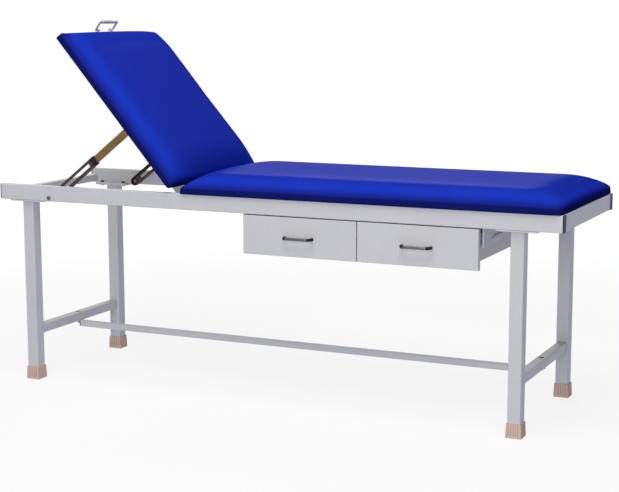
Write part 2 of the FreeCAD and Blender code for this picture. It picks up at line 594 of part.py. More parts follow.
def make_struts():
    """Make the two ratchet struts, drawn level from the foot pivot and then turned up."""
    foot = Vector(STRUT_X, STRUT_Y, STRUT_FOOT_HEIGHT)
    reach = strut_pin_place().sub(foot)
    slope = math.degrees(math.atan2(reach.z, reach.x))

    def turned(shape):
        copy = shape.copy()
        copy.rotate(foot, Y_AXIS, -slope)
        return copy

    def level(t0, t1, y0, y1, h):
        return block(STRUT_X + t0, STRUT_X + t1, STRUT_Y + y0, STRUT_Y + y1,
                     STRUT_FOOT_HEIGHT - h, STRUT_FOOT_HEIGHT + h)

    half = CHANNEL_WIDTH / 2
    deep = CHANNEL_DEPTH / 2
    web_y = STRUT_Y - deep
    tail = rod(CHANNEL_WIDTH, Vector(STRUT_X, web_y, STRUT_FOOT_HEIGHT),
               Vector(STRUT_X, STRUT_Y + deep, STRUT_FOOT_HEIGHT))
    hollow = rod(CHANNEL_WIDTH - 2 * CHANNEL_WALL, Vector(STRUT_X, web_y + CHANNEL_WALL, STRUT_FOOT_HEIGHT),
                 Vector(STRUT_X, STRUT_Y + deep + 1, STRUT_FOOT_HEIGHT))
    hollow = hollow.fuse(level(0, CHANNEL_LENGTH + 1, CHANNEL_WALL - deep, deep + 1, half - CHANNEL_WALL))
    channel = level(0, CHANNEL_LENGTH, -deep, deep, half).fuse(tail).removeSplitter().cut(hollow)
    slot = level(CHANNEL_SLOT_START, CHANNEL_SLOT_END, -deep - 1, deep, CHANNEL_SLOT_WIDTH / 2)
    channel = channel.cut(slot)
    bore = rod(STRUT_BOLT + 2 * HINGE_CLEARANCE, Vector(STRUT_X, STRUT_Y - CHANNEL_DEPTH, STRUT_FOOT_HEIGHT),
               Vector(STRUT_X, STRUT_Y + CHANNEL_DEPTH, STRUT_FOOT_HEIGHT))
    channel = turned(channel.cut(bore))

    bar_half = BAR_WIDTH / 2
    bar_y0 = CHANNEL_WALL - deep + BAR_CLEARANCE
    bar_y1 = bar_y0 + BAR_THICK
    catch = level(CHANNEL_LENGTH, CHANNEL_LENGTH + CATCH_LENGTH, -deep, deep, half)
    catch = catch.cut(level(CHANNEL_LENGTH - 1, CHANNEL_LENGTH + CATCH_LENGTH + 1, bar_y0 - BAR_CLEARANCE,
                            bar_y1 + BAR_CLEARANCE, bar_half + BAR_CLEARANCE))
    catch = turned(catch)

    pin_t = reach.Length
    bar = level(CHANNEL_LENGTH - BAR_OVERLAP, pin_t, bar_y0, bar_y1, bar_half)
    pin_foot = Vector(STRUT_X + pin_t, STRUT_Y + bar_y0, STRUT_FOOT_HEIGHT)
    eye = rod(2 * bar_half, pin_foot, pin_foot.add(Vector(0, BAR_THICK, 0)))
    pin_tip_y = BEARER_Y + BEARER_THICK + HINGE_SIDE_GAP + TOP_PIN_TIP
    pin = rod(TOP_PIN, pin_foot.sub(Vector(0, TOP_PIN_HEAD, 0)), Vector(pin_foot.x, pin_tip_y, pin_foot.z))
    bar = turned(bar.fuse(eye).removeSplitter().cut(pin))
    pin = turned(pin)

    for side, copy in (("front", lambda shape: shape), ("rear", mirrored)):
        export(side + "_strut_channel", copy(channel))
        export(side + "_strut_catch", copy(catch))
        export(side + "_strut_bar", copy(bar))
        export(side + "_strut_top_pin", copy(pin))

    head_y = FRONT_Y - 0.5 * STRUT_BOLT
    inner = STRUT_Y - deep + CHANNEL_WALL + HINGE_SIDE_GAP
    bolt = rod(STRUT_BOLT, Vector(STRUT_X, head_y, STRUT_FOOT_HEIGHT),
               Vector(STRUT_X, inner + 0.5 * STRUT_BOLT, STRUT_FOOT_HEIGHT))
    head = rod(HEX_ACROSS_FLATS * STRUT_BOLT, Vector(STRUT_X, head_y, STRUT_FOOT_HEIGHT),
               Vector(STRUT_X, FRONT_Y, STRUT_FOOT_HEIGHT))
    collar = rod(HEX_ACROSS_FLATS * STRUT_BOLT, Vector(STRUT_X, FRONT_Y + RAIL_WIDTH, STRUT_FOOT_HEIGHT),
                 Vector(STRUT_X, STRUT_Y - deep - HINGE_SIDE_GAP, STRUT_FOOT_HEIGHT))
    keeper = rod(HEX_ACROSS_FLATS * STRUT_BOLT, Vector(STRUT_X, inner, STRUT_FOOT_HEIGHT),
                 Vector(STRUT_X, inner + 0.5 * STRUT_BOLT, STRUT_FOOT_HEIGHT))
    export("strut_pivot_bolts", pair(bolt.fuse([head, collar, keeper])))


def bail_pivot():
    """Return the middle of the bail's pivot with the backrest flat."""
    return Vector(HINGE_X - BACKREST_LENGTH - BAIL_BEYOND_CUSHION, 0,
                  BACKREST_UNDERSIDE + BAIL_ABOVE_UNDERSIDE)


def handle_straps():
    """Return the two straps let into the board's underside, each with an eye for the bail, drawn flat."""
    straps = []
    pivot = bail_pivot()
    bore_size = BAIL_ROD + 2 * BAIL_CLEARANCE
    tail_x = HINGE_X - BACKREST_LENGTH + STRAP_TAIL
    for sign in (-1, 1):
        middle = sign * STRAP_Y
        y0 = middle - STRAP_WIDTH / 2
        y1 = middle + STRAP_WIDTH / 2
        tail = block(pivot.x, tail_x, y0, y1, BACKREST_UNDERSIDE, BACKREST_UNDERSIDE + STRAP_THICK)
        curl = rod(bore_size + 2 * STRAP_THICK, Vector(pivot.x, y0, pivot.z), Vector(pivot.x, y1, pivot.z))
        bore = rod(bore_size, Vector(pivot.x, y0 - 1, pivot.z), Vector(pivot.x, y1 + 1, pivot.z))
        straps.append(tail.fuse(curl).removeSplitter().cut(bore))
    return straps


def strap_screws():
    """Return the screws of the handle straps, drawn flat."""
    screws = []
    for sign in (-1, 1):
        y = sign * STRAP_Y
        seat = Vector(HINGE_X - BACKREST_LENGTH + STRAP_TAIL - STRAP_WIDTH / 2, y, BACKREST_UNDERSIDE)
        tip = Vector(seat.x, seat.y, BACKREST_UNDERSIDE + STRAP_THICK + BOARD_THICK / 2)
        head = rod(2 * STRAP_SCREW, seat, seat.sub(Vector(0, 0, STRAP_SCREW / 2)))
        screws.append(head.fuse(rod(STRAP_SCREW, seat, tip)))
    return screws


def make_handle():
    """Make the bail handle, its two straps in the board and their screws."""
    pivot = bail_pivot()
    leg_y = BAIL_WIDTH / 2 - BAIL_ROD / 2
    rods = []
    for sign in (-1, 1):
        corner = Vector(pivot.x, sign * leg_y, pivot.z)
        top = corner.add(Vector(0, 0, BAIL_REACH))
        stub_end = Vector(pivot.x, sign * (leg_y - BAIL_ROD / 2 - BAIL_STUB), pivot.z)
        rods += [rod(BAIL_ROD, corner, top), rod(BAIL_ROD, corner, stub_end)]
        rods += [Part.makeSphere(BAIL_ROD / 2, corner), Part.makeSphere(BAIL_ROD / 2, top)]
    for size, half in ((BAIL_ROD, leg_y), (BAIL_GRIP, leg_y - BAIL_ROD)):
        rods.append(rod(size, Vector(pivot.x, -half, pivot.z + BAIL_REACH),
                        Vector(pivot.x, half, pivot.z + BAIL_REACH)))
    bail = rods[0].fuse(rods[1:])
    bail.rotate(pivot, Y_AXIS, 90 - BACKREST_ANGLE - BAIL_ANGLE)
    export("handle_bail", raised(bail))

    holes = Part.makeCompound(strap_screws())
    export("handle_straps", [raised(strap.cut(holes)) for strap in handle_straps()])
    export("strap_screws", [raised(screw) for screw in strap_screws()])


def hanger_places():
    """Return the middle of the three drawer hangers along the table."""
    inset = HANGER_FROM_EDGE + HANGER_SHEET / 2
    middle = (DRAWER_HEAD_EDGE + DRAWER_FOOT_EDGE) / 2
    return (DRAWER_HEAD_EDGE + inset, middle, DRAWER_FOOT_EDGE - inset)


def make_drawer_hangers():
    """Make the three hanger plates under the seat bearers, folded out at the front, and their runners."""
    y0 = FRONT_Y + HANGER_SETBACK
    y1 = y0 + HANGER_DEPTH
    bottom = RAIL_BOTTOM - HANGER_DROP
    half = HANGER_SHEET / 2
    runner_top = TRAY_TOP - TRAY_SHEET - RUNNER_GAP
    runners = []
    for name, x, sides in zip(("head", "middle", "foot"), hanger_places(), ((1,), (-1, 1), (-1,))):
        web = block(x - half, x + half, y0, y1, bottom, RAIL_BOTTOM)
        flange = block(x - HANGER_FLANGE / 2, x + HANGER_FLANGE / 2, y0 + RAIL_WIDTH, y1,
                       RAIL_BOTTOM - HANGER_SHEET, RAIL_BOTTOM)
        plate = web.fuse(flange)
        if len(sides) == 1:
            fold_x = sorted((x, x - sides[0] * (half + HANGER_FOLD)))
            plate = plate.fuse(block(fold_x[0], fold_x[1], y0, y0 + HANGER_SHEET, bottom, RAIL_BOTTOM))
        export("drawer_hanger_" + name, plate.removeSplitter())
        for side in sides:
            reach = sorted((x + side * half, x + side * (half + RUNNER_WIDTH)))
            runners.append(block(reach[0], reach[1], y0 + RUNNER_SETBACK, y1,
                                 runner_top - RUNNER_HEIGHT, runner_top))
    export("drawer_runners", runners)


def make_drawer(name, front_x, tray_x0, tray_x1):
    """Make one drawer: front, folded tray with hanging lips, pull and screws."""
    front_y1 = FRONT_Y + DRAWER_FRONT_THICK
    front = block(front_x, front_x + DRAWER_FRONT_WIDTH, FRONT_Y, front_y1,
                  FRONT_TOP - DRAWER_FRONT_HEIGHT, FRONT_TOP)
    face_edges = [edge for edge in front.Edges if edge.BoundBox.YMax < front_y1 - 0.001]
    front = front.makeFillet(DRAWER_FRONT_EDGE, face_edges)
    back_y = front_y1 + TRAY_DEPTH
    tray = block(tray_x0, tray_x1, front_y1, back_y, TRAY_FLOOR, TRAY_TOP)
    tray = tray.cut(block(tray_x0 + TRAY_SHEET, tray_x1 - TRAY_SHEET, front_y1 + TRAY_SHEET,
                          back_y - TRAY_SHEET, TRAY_FLOOR + TRAY_SHEET, TRAY_TOP + 1))
    lip_y0 = FRONT_Y + HANGER_SETBACK
    lips = [block(tray_x0 - TRAY_LIP, tray_x0 + TRAY_SHEET, lip_y0, back_y, TRAY_TOP - TRAY_SHEET, TRAY_TOP),
            block(tray_x1 - TRAY_SHEET, tray_x1 + TRAY_LIP, lip_y0, back_y, TRAY_TOP - TRAY_SHEET, TRAY_TOP)]
    tray = tray.fuse(lips).removeSplitter()

    middle = front_x + DRAWER_FRONT_WIDTH / 2
    post_offset = (PULL_WIDTH - PULL_POST) / 2
    posts = []
    screws = []
    for sign in (-1, 1):
        x = middle + sign * post_offset
        post = block(x - PULL_POST / 2, x + PULL_POST / 2, FRONT_Y - PULL_PROJECTION, FRONT_Y,
                     PULL_Z - PULL_HEIGHT / 2, PULL_Z + PULL_HEIGHT / 2)
        post = round_edges(post, Z_AXIS, PULL_EDGE)
        head_seat = Vector(x, front_y1 + TRAY_SHEET, PULL_Z)
        tip = Vector(x, FRONT_Y - PULL_PROJECTION / 2, PULL_Z)
        screw = rod(2 * PULL_SCREW, head_seat, head_seat.add(Vector(0, PULL_SCREW / 2, 0)))
        screw = screw.fuse(rod(PULL_SCREW, head_seat, tip))
        posts.append(post.cut(screw))
        screws.append(screw)
        edge = Vector(middle + sign * FRONT_SCREW_SPACING / 2, front_y1 + TRAY_SHEET, PULL_Z)
        bite = Vector(edge.x, front_y1 - FRONT_SCREW_BITE, edge.z)
        fixing = rod(2 * FRONT_SCREW, edge, edge.add(Vector(0, FRONT_SCREW / 2, 0)))
        screws.append(fixing.fuse(rod(FRONT_SCREW, edge, bite)))
    drilled = Part.makeCompound(screws)
    inner = post_offset - PULL_POST / 2
    bar_y = FRONT_Y - PULL_PROJECTION
    bar = block(middle - inner, middle + inner, bar_y, bar_y + PULL_BAR_THICK,
                PULL_Z - PULL_HEIGHT / 2, PULL_Z + PULL_HEIGHT / 2)
    export(name + "_drawer_front", front.cut(drilled))
    export(name + "_drawer_tray", tray.cut(drilled))
    export(name + "_drawer_pull", posts + [bar])
    export(name + "_drawer_screws", screws)


def make_drawers():
    """Make the two drawers between the hangers."""
    places = hanger_places()
    gap = HANGER_SHEET / 2 + RUNNER_WIDTH + RUNNER_SIDE_GAP
    right_x = DRAWER_FOOT_EDGE - DRAWER_FRONT_WIDTH
    make_drawer("left", DRAWER_HEAD_EDGE, places[0] + gap, places[1] - gap)
    make_drawer("right", right_x, places[1] + gap, places[2] - gap)


def main():
    """Make every piece of the table."""
    os.makedirs("parts", exist_ok=True)
    make_top_frame()
    make_legs()
    make_stretchers()
    make_seat()
    make_backrest()
    make_hinge()
    make_struts()
    make_handle()
    make_drawer_hangers()
    make_drawers()


main()
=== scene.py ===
import json
import logging
import math
from dataclasses import dataclass
from enum import Enum
from typing import Any

import bmesh
import bpy
import numpy as np
from bpy.types import Material, Mesh, Node, NodeSocket, NodeTree, Object
from mathutils import Matrix, Vector


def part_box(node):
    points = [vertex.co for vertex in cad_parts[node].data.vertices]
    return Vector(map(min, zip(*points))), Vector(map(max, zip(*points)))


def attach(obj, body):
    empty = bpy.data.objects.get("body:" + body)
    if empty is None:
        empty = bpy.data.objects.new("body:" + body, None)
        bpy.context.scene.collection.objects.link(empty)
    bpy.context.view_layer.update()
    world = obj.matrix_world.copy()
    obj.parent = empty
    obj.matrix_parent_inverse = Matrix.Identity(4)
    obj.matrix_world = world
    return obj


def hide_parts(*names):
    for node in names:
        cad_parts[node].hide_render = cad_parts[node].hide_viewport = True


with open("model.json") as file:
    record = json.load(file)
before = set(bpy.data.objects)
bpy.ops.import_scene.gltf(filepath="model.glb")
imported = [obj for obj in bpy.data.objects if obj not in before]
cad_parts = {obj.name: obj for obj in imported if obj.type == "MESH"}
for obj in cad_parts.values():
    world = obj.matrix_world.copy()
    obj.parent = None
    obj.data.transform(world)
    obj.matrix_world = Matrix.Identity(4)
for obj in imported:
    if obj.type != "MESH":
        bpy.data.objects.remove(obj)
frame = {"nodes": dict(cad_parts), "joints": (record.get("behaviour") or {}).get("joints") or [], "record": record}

LOG = logging.getLogger("examination_table")
MM = 0.001
MERGE_DISTANCE = 0.001 * MM
TINY = 1e-9
# Values kept at the points of a pad: its painted shading, darkest in the tuck and on the sides with a painted lit
# band on the roll, and its gloss.
PAINTED_SHADING, GLOSS = "rise", "gloss"
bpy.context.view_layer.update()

Array = np.ndarray
Colour = tuple[float, float, float, float]
Place = tuple[float, float, float]
Span = tuple[float, float]
Skin = tuple[Array, Array]


class Slot(Enum):
    """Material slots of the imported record."""

    POWDER_COAT = "powder_coat"
    BLACK_PLASTIC = "black_plastic"
    TAN_RUBBER = "tan_rubber"
    ZINC_STEEL = "zinc_steel"
    DARK_ZINC = "dark_zinc"
    YELLOW_ZINC = "yellow_zinc"
    PLYWOOD = "plywood"
    BLUE_VINYL = "blue_vinyl"
    WHITE_NYLON = "white_nylon"
    PULL_METAL = "pull_metal"


class Axis(Enum):
    """Direction that a tube runs in: its vector, and the coordinates that its section fills."""

    Y = ((0, 1, 0), [0, 2])
    Z = ((0, 0, 1), [0, 1])


class Graph:
    """A node tree with short calls to add, set and join its nodes."""

    FIRST_COLOUR, SECOND_COLOUR, MIXED_COLOUR = 6, 7, 2

    def __init__(self, tree: NodeTree) -> None:
        """Keep the tree and empty it."""
        self.tree = tree
        tree.nodes.clear()

    def add(self, kind: str, inputs: dict[Any, Any] | None = None, **settings: Any) -> Node:
        """Add one node.

        Args:
            kind: Node type without its ShaderNode prefix.
            inputs: Socket names or numbers, with a value or another socket for each.
            settings: Properties of the node.

        Returns:
            The new node.
        """
        prefix = "" if kind.startswith("NodeGroup") else "ShaderNode"
        node = self.tree.nodes.new(prefix + kind)
        for name, value in settings.items():
            setattr(node, name, value)
        for key, value in (inputs or {}).items():
            self.feed(node.inputs[key], value)
        return node

    def feed(self, socket: NodeSocket, value: Any) -> None:
        """Link a socket to another, or set its value."""
        if isinstance(value, NodeSocket):
            self.tree.links.new(value, socket)
        else:
            socket.default_value = value

    def maths(self, operation: str, *values: Any) -> NodeSocket:
        """Return the result of one Math node on numbers or sockets."""
        return self.add("Math", dict(enumerate(values)), operation=operation).outputs[0]

    def blend(self, factor: Any, first: Any, second: Any) -> NodeSocket:
        """Return two colours mixed by a factor."""
        inputs = {"Factor": factor, self.FIRST_COLOUR: first, self.SECOND_COLOUR: second}
        return self.add("Mix", inputs, data_type="RGBA").outputs[self.MIXED_COLOUR]

    def use(self, tree: NodeTree, **values: float) -> Any:
        """Place a shared group and return its outputs."""
        return self.add("Group", values, node_tree=tree).outputs

    def place(self) -> NodeSocket:
        """Return the place on the piece, in metres."""
        return self.add("TexCoord").outputs["Object"]

    def noise(self, place: Any, scale: Any, detail: float, **more: float) -> NodeSocket:
        """Return the value of a noise at a place."""
        return self.add("TexNoise", {"Vector": place, "Scale": scale, "Detail": detail, **more}).outputs[0]

    def bump(self, height: Any, strength: float, depth: float, **more: Any) -> NodeSocket:
        """Return a normal roughened by a height, whose depth is in metres."""
        inputs = {"Height": height, "Strength": strength, "Distance": depth, **more}
        return self.add("Bump", inputs).outputs[0]

    def weigh(self, first: Any, second: Any, share: float, other: float) -> NodeSocket:
        """Return the sum of two values, each multiplied by its share."""
        return self.maths("ADD", self.maths("MULTIPLY", first, share), self.maths("MULTIPLY", second, other))

    def spread(self, value: Any, low: float, high: float, to_low: float = 0.0, to_high: float = 1.0,
               smooth: bool = False) -> NodeSocket:
        """Return a value carried from one range to another."""
        kind = "SMOOTHSTEP" if smooth else "LINEAR"
        names = {"Value": value, "From Min": low, "From Max": high, "To Min": to_low, "To Max": to_high}
        return self.add("MapRange", names, interpolation_type=kind).outputs[0]


def new_group(name: str, inputs: list[str], outputs: dict[str, str]) -> tuple[Graph, Any, Any]:
    """Start a shader node group with named sockets.

    Args:
        name: Name of the group.
        inputs: Names of its numbers.
        outputs: Output names with their socket types.

    Returns:
        The group's graph, the outputs of its input node and the inputs of its output node.
    """
    tree = bpy.data.node_groups.new(name, "ShaderNodeTree")
    for key in inputs:
        tree.interface.new_socket(key, in_out="INPUT", socket_type="NodeSocketFloat")
    for key, kind in outputs.items():
        tree.interface.new_socket(key, in_out="OUTPUT", socket_type=kind)
    graph = Graph(tree)
    return graph, graph.add("NodeGroupInput").outputs, graph.add("NodeGroupOutput").inputs


class SharedEffects:
    """Node groups that several finishes use: edge wear, mottle, fine grain and settled dust.

    Each span says where an effect starts and where it is full.
    """

    EDGE_TURN = (0.98, 0.75)
    EDGE_PATCH = (0.42, 0.62)
    CLOUD = (0.35, 0.65)
    CLOUD_SHARES = (0.7, 0.3)
    FINER = 10.0
    DUST_TILT = (0.4, 1.0)
    DUST_PATCH = (0.4, 0.7)

    def __init__(self) -> None:
        """Build each group once."""
        self.edges = self._edges()
        self.mottle = self._mottle()
        self.grain = self._grain()
        self.dust = self._dust()

    def _edges(self) -> NodeTree:
        """Return a group that finds edges: where a rounded normal leaves the true one, broken by noise."""
        graph, given, result = new_group("worn_edges", ["Radius", "Breakup"],
                                         {"Mask": "NodeSocketFloat", "Normal": "NodeSocketVector"})
        rounded = graph.add("Bevel", {"Radius": given["Radius"]}, samples=4).outputs[0]
        flat = graph.add("NewGeometry").outputs["Normal"]
        turn = graph.add("VectorMath", {0: rounded, 1: flat}, operation="DOT_PRODUCT").outputs["Value"]
        edge = graph.spread(turn, *self.EDGE_TURN, smooth=True)
        noise = graph.noise(graph.place(), given["Breakup"], 6.0)
        patchy = graph.spread(noise, *self.EDGE_PATCH, smooth=True)
        graph.feed(result["Mask"], graph.maths("MULTIPLY", edge, patchy))
        graph.feed(result["Normal"], rounded)
        return graph.tree

    def _mottle(self) -> NodeTree:
        """Return a group of slow cloudy variation from a wide noise and a finer one."""
        graph, given, result = new_group("cloudy_mottle", ["Scale"], {"Value": "NodeSocketFloat"})
        place = graph.place()
        wide = graph.noise(place, given["Scale"], 3.0)
        fine = graph.noise(place, graph.maths("MULTIPLY", given["Scale"], self.FINER), 4.0)
        both = graph.weigh(wide, fine, *self.CLOUD_SHARES)
        graph.feed(result["Value"], graph.spread(both, *self.CLOUD))
        return graph.tree

    def _grain(self) -> NodeTree:
        """Return a group of fine relief: pebbled cells over a soft noise."""
        graph, given, result = new_group("fine_grain", ["Scale", "Cells"], {"Height": "NodeSocketFloat"})
        place = graph.place()
        soft = graph.noise(place, given["Scale"], 2.0)
        inputs = {"Vector": place, "Scale": given["Scale"]}
        cell = graph.add("TexVoronoi", inputs, feature="SMOOTH_F1").outputs[0]
        mixed = graph.add("Mix", {"Factor": given["Cells"], "A": soft, "B": cell}).outputs[0]
        graph.feed(result["Height"], mixed)
        return graph.tree

    def _dust(self) -> NodeTree:
        """Return a group of dust that lies on what faces up, thicker in patches."""
        graph, given, result = new_group("settled_dust", ["Amount", "Scale"], {"Mask": "NodeSocketFloat"})
        up = graph.add("SeparateXYZ", {0: graph.add("NewGeometry").outputs["Normal"]}).outputs["Z"]
        noise = graph.noise(graph.place(), given["Scale"], 5.0)
        tilt, patch = graph.spread(up, *self.DUST_TILT), graph.spread(noise, *self.DUST_PATCH)
        thick = graph.maths("MULTIPLY", tilt, patch)
        graph.feed(result["Mask"], graph.maths("MULTIPLY", thick, given["Amount"]))
        return graph.tree


def scaled(colour: Colour, share: float) -> Colour:
    """Return a colour with its channels multiplied and held at 1."""
    return tuple(min(1.0, share * channel) for channel in colour[:3]) + (1.0,)


@dataclass(frozen=True)
class Finish:
    """Common part of a finish: a material with one shader, and the shared effects at hand."""

    name: str
    effects: SharedEffects

    def inputs(self, graph: Graph) -> dict[str, Any]:
        """Return the shader's inputs, which each finish has of its own."""
        raise NotImplementedError

    def make(self) -> Material:
        """Return a new material."""
        material = bpy.data.materials.new(self.name)
        material.use_nodes = True
        graph = Graph(material.node_tree)
        shader = graph.add("BsdfPrincipled", self.inputs(graph))
        graph.add("OutputMaterial", {"Surface": shader.outputs[0]})
        return material


@dataclass(frozen=True)
class PowderCoat(Finish):
    """Satin powder coat on steel tube: faint orange peel, soft edges, thin wear and a little dust."""

    colour: Colour = (0.545, 0.54, 0.525, 1.0)
    worn: Colour = (0.34, 0.34, 0.35, 1.0)
    dusty: Colour = (0.52, 0.51, 0.50, 1.0)
    edge_radius: float = 1.6 * MM
    cloud_shade: float = 0.955
    wear_share: float = 0.35
    roughness: Span = (0.36, 0.48)
    specular: float = 0.2

    def inputs(self, graph: Graph) -> dict[str, Any]:
        """Return the shader's inputs."""
        edges = graph.use(self.effects.edges, Radius=self.edge_radius, Breakup=90.0)
        cloud = graph.use(self.effects.mottle, Scale=5.0)["Value"]
        dust = graph.use(self.effects.dust, Amount=0.25, Scale=16.0)["Mask"]
        peel = graph.use(self.effects.grain, Scale=420.0, Cells=0.25)["Height"]
        wear = graph.maths("MULTIPLY", edges["Mask"], self.wear_share)
        base = graph.blend(cloud, scaled(self.colour, self.cloud_shade), self.colour)
        base = graph.blend(wear, base, self.worn)
        return {"Base Color": graph.blend(dust, base, self.dusty),
                "Roughness": graph.spread(cloud, 0.0, 1.0, *self.roughness),
                "Normal": graph.bump(peel, 0.06, 0.6 * MM, Normal=edges["Normal"]),
                "Specular IOR Level": self.specular}


@dataclass(frozen=True)
class Vinyl(Finish):
    """Royal-blue upholstery vinyl: pebbled grain, a thin gloss, and painted light and shading towards the edges.

    A point's painted shading goes from 0 in the tuck, painted darkest, through painted side shading and a painted
    lit band on the roll, to 1 on the top, which shows the vinyl's own colour. The to_ spans say where each colour
    comes in.
    """

    # The first two colours are painted shade: darkest in the tuck, then on the sides; the second also darkens the
    # pores. The third is a painted lit band on the roll; the top colour is the vinyl's own.
    tucked: Colour = (0.005, 0.007, 0.075, 1.0)
    painted_shade_and_pore: Colour = (0.008, 0.015, 0.21, 1.0)
    bright: Colour = (0.010, 0.034, 0.43, 1.0)
    top: Colour = (0.011, 0.026, 0.34, 1.0)
    rubbed: Colour = (0.022, 0.034, 0.38, 1.0)
    to_painted_shade: Span = (0.0, 0.22)
    to_painted_light: Span = (0.20, 0.68)
    to_top: Span = (0.74, 0.97)
    drift: Span = (-0.03, 0.03)
    pore_depth: Span = (0.25, 0.55)
    pore_share: float = 0.18
    roughness: Span = (0.42, 0.52)
    coat_roughness: float = 0.28

    def inputs(self, graph: Graph) -> dict[str, Any]:
        """Return the shader's inputs."""
        cloud = graph.use(self.effects.mottle, Scale=3.5)["Value"]
        dust = graph.use(self.effects.dust, Amount=0.14, Scale=7.0)["Mask"]
        pebble = graph.use(self.effects.grain, Scale=720.0, Cells=0.65)["Height"]
        # Each point's painted shading, with a little random drift, blends painted shadow in the tuck, painted side
        # shade and a painted lit band on the roll into the vinyl's own top colour.
        shade = graph.add("Attribute", attribute_name=PAINTED_SHADING).outputs["Fac"]
        shade = graph.maths("ADD", shade, graph.spread(cloud, 0.0, 1.0, *self.drift))
        base = self.tucked
        steps = (self.to_painted_shade, self.painted_shade_and_pore), (self.to_painted_light, self.bright), (self.to_top, self.top)
        for span, colour in steps:
            base = graph.blend(graph.spread(shade, *span, smooth=True), base, colour)
        pores = graph.maths("MULTIPLY", graph.spread(pebble, *self.pore_depth), self.pore_share)
        base = graph.blend(pores, base, self.painted_shade_and_pore)
        gloss = graph.add("Attribute", attribute_name=GLOSS).outputs["Fac"]
        return {"Base Color": graph.blend(dust, base, self.rubbed),
                "Roughness": graph.spread(cloud, 0.0, 1.0, *self.roughness),
                "Normal": graph.bump(pebble, 0.12, 0.5 * MM), "Specular IOR Level": 0.0,
                "Coat Weight": gloss, "Coat Roughness": self.coat_roughness}


class Plating(Enum):
    """Platings of steel: two hues that drift into each other, and how rough the plating is."""

    BRIGHT = ((0.78, 0.77, 0.80, 1.0), (0.62, 0.61, 0.66, 1.0), 0.34)
    DARK = ((0.055, 0.032, 0.030, 1.0), (0.085, 0.052, 0.072, 1.0), 0.42)
    BLACK = ((0.012, 0.010, 0.011, 1.0), (0.030, 0.022, 0.026, 1.0), 0.45)
    YELLOW = ((0.235, 0.125, 0.040, 1.0), (0.115, 0.098, 0.055, 1.0), 0.38)
    BAIL = ((0.45, 0.43, 0.50, 1.0), (0.36, 0.34, 0.40, 1.0), 0.50)
    PULL = ((0.15, 0.145, 0.145, 1.0), (0.09, 0.087, 0.087, 1.0), 0.30)


@dataclass(frozen=True)
class PlatedSteel(Finish):
    """Plated steel: drifting hues, bright rubbed edges and fine drawing marks."""

    plating: Plating = Plating.BRIGHT
    rub_gain: float = 1.5
    rub_share: float = 0.6
    rough_range: float = 0.14

    def inputs(self, graph: Graph) -> dict[str, Any]:
        """Return the shader's inputs."""
        first, second, rough = self.plating.value
        edges = graph.use(self.effects.edges, Radius=0.8 * MM, Breakup=160.0)
        cloud = graph.use(self.effects.mottle, Scale=38.0)["Value"]
        marks = graph.use(self.effects.grain, Scale=1500.0, Cells=0.2)["Height"]
        rub = graph.maths("MULTIPLY", edges["Mask"], self.rub_share)
        base = graph.blend(rub, graph.blend(cloud, first, second), scaled(first, self.rub_gain))
        return {"Base Color": base, "Metallic": 1.0,
                "Roughness": graph.spread(cloud, 0.0, 1.0, rough, rough + self.rough_range),
                "Normal": graph.bump(marks, 0.05, 0.3 * MM, Normal=edges["Normal"])}


@dataclass(frozen=True)
class Moulded(Finish):
    """Moulded plastic or rubber: matt skin with a fine texture and scuffed edges."""

    colour: Colour = (0.007, 0.007, 0.009, 1.0)
    scuffed: Colour = (0.03, 0.03, 0.032, 1.0)
    rough: float = 0.5
    rough_range: float = 0.12
    cloud_shade: float = 0.86
    scuff_share: float = 0.7
    specular: float = 0.2

    def inputs(self, graph: Graph) -> dict[str, Any]:
        """Return the shader's inputs."""
        edges = graph.use(self.effects.edges, Radius=1.2 * MM, Breakup=120.0)
        cloud = graph.use(self.effects.mottle, Scale=22.0)["Value"]
        skin = graph.use(self.effects.grain, Scale=1100.0, Cells=0.4)["Height"]
        scuff = graph.maths("MULTIPLY", edges["Mask"], self.scuff_share)
        base = graph.blend(cloud, scaled(self.colour, self.cloud_shade), self.colour)
        rough = graph.spread(cloud, 0.0, 1.0, self.rough, self.rough + self.rough_range)
        return {"Base Color": graph.blend(scuff, base, self.scuffed), "Roughness": rough,
                "Normal": graph.bump(skin, 0.12, 0.4 * MM, Normal=edges["Normal"]),
                "Specular IOR Level": self.specular}


@dataclass(frozen=True)
class Plywood(Finish):
    """Plywood board: veneer figure along the board, wavy bands and dark pores."""

    light: Colour = (0.50, 0.34, 0.19, 1.0)
    dark: Colour = (0.33, 0.20, 0.10, 1.0)
    turn: float = 0.0
    stretch: Place = (0.5, 7.0, 7.0)
    figure_shares: Span = (0.6, 0.4)
    figure_depth: Span = (0.3, 0.75)
    pore_depth: Span = (0.62, 0.75)
    pore_share: float = 0.5
    cloud_share: float = 0.2
    roughness: Span = (0.75, 0.6)

    def inputs(self, graph: Graph) -> dict[str, Any]:
        """Return the shader's inputs."""
        lie = {"Vector": graph.place(), "Rotation": (0.0, -self.turn, 0.0), "Scale": self.stretch}
        along = graph.add("Mapping", lie).outputs[0]
        figure = graph.noise(along, 4.0, 8.0, Distortion=0.8)
        pores = graph.noise(along, 60.0, 3.0)
        waves = {"Vector": along, "Scale": 1.2, "Distortion": 5.0, "Detail": 3.0}
        bands = graph.add("TexWave", waves, bands_direction="Y").outputs[1]
        mixed = graph.weigh(figure, bands, *self.figure_shares)
        base = graph.blend(graph.spread(mixed, *self.figure_depth), self.dark, self.light)
        base = graph.blend(graph.spread(pores, *self.pore_depth, 0.0, self.pore_share), base, self.dark)
        cloud = graph.use(self.effects.mottle, Scale=4.0)["Value"]
        base = graph.blend(graph.maths("MULTIPLY", cloud, self.cloud_share), base, self.dark)
        return {"Base Color": base, "Normal": graph.bump(pores, 0.15, 0.4 * MM),
                "Roughness": graph.spread(mixed, 0.0, 1.0, *self.roughness)}


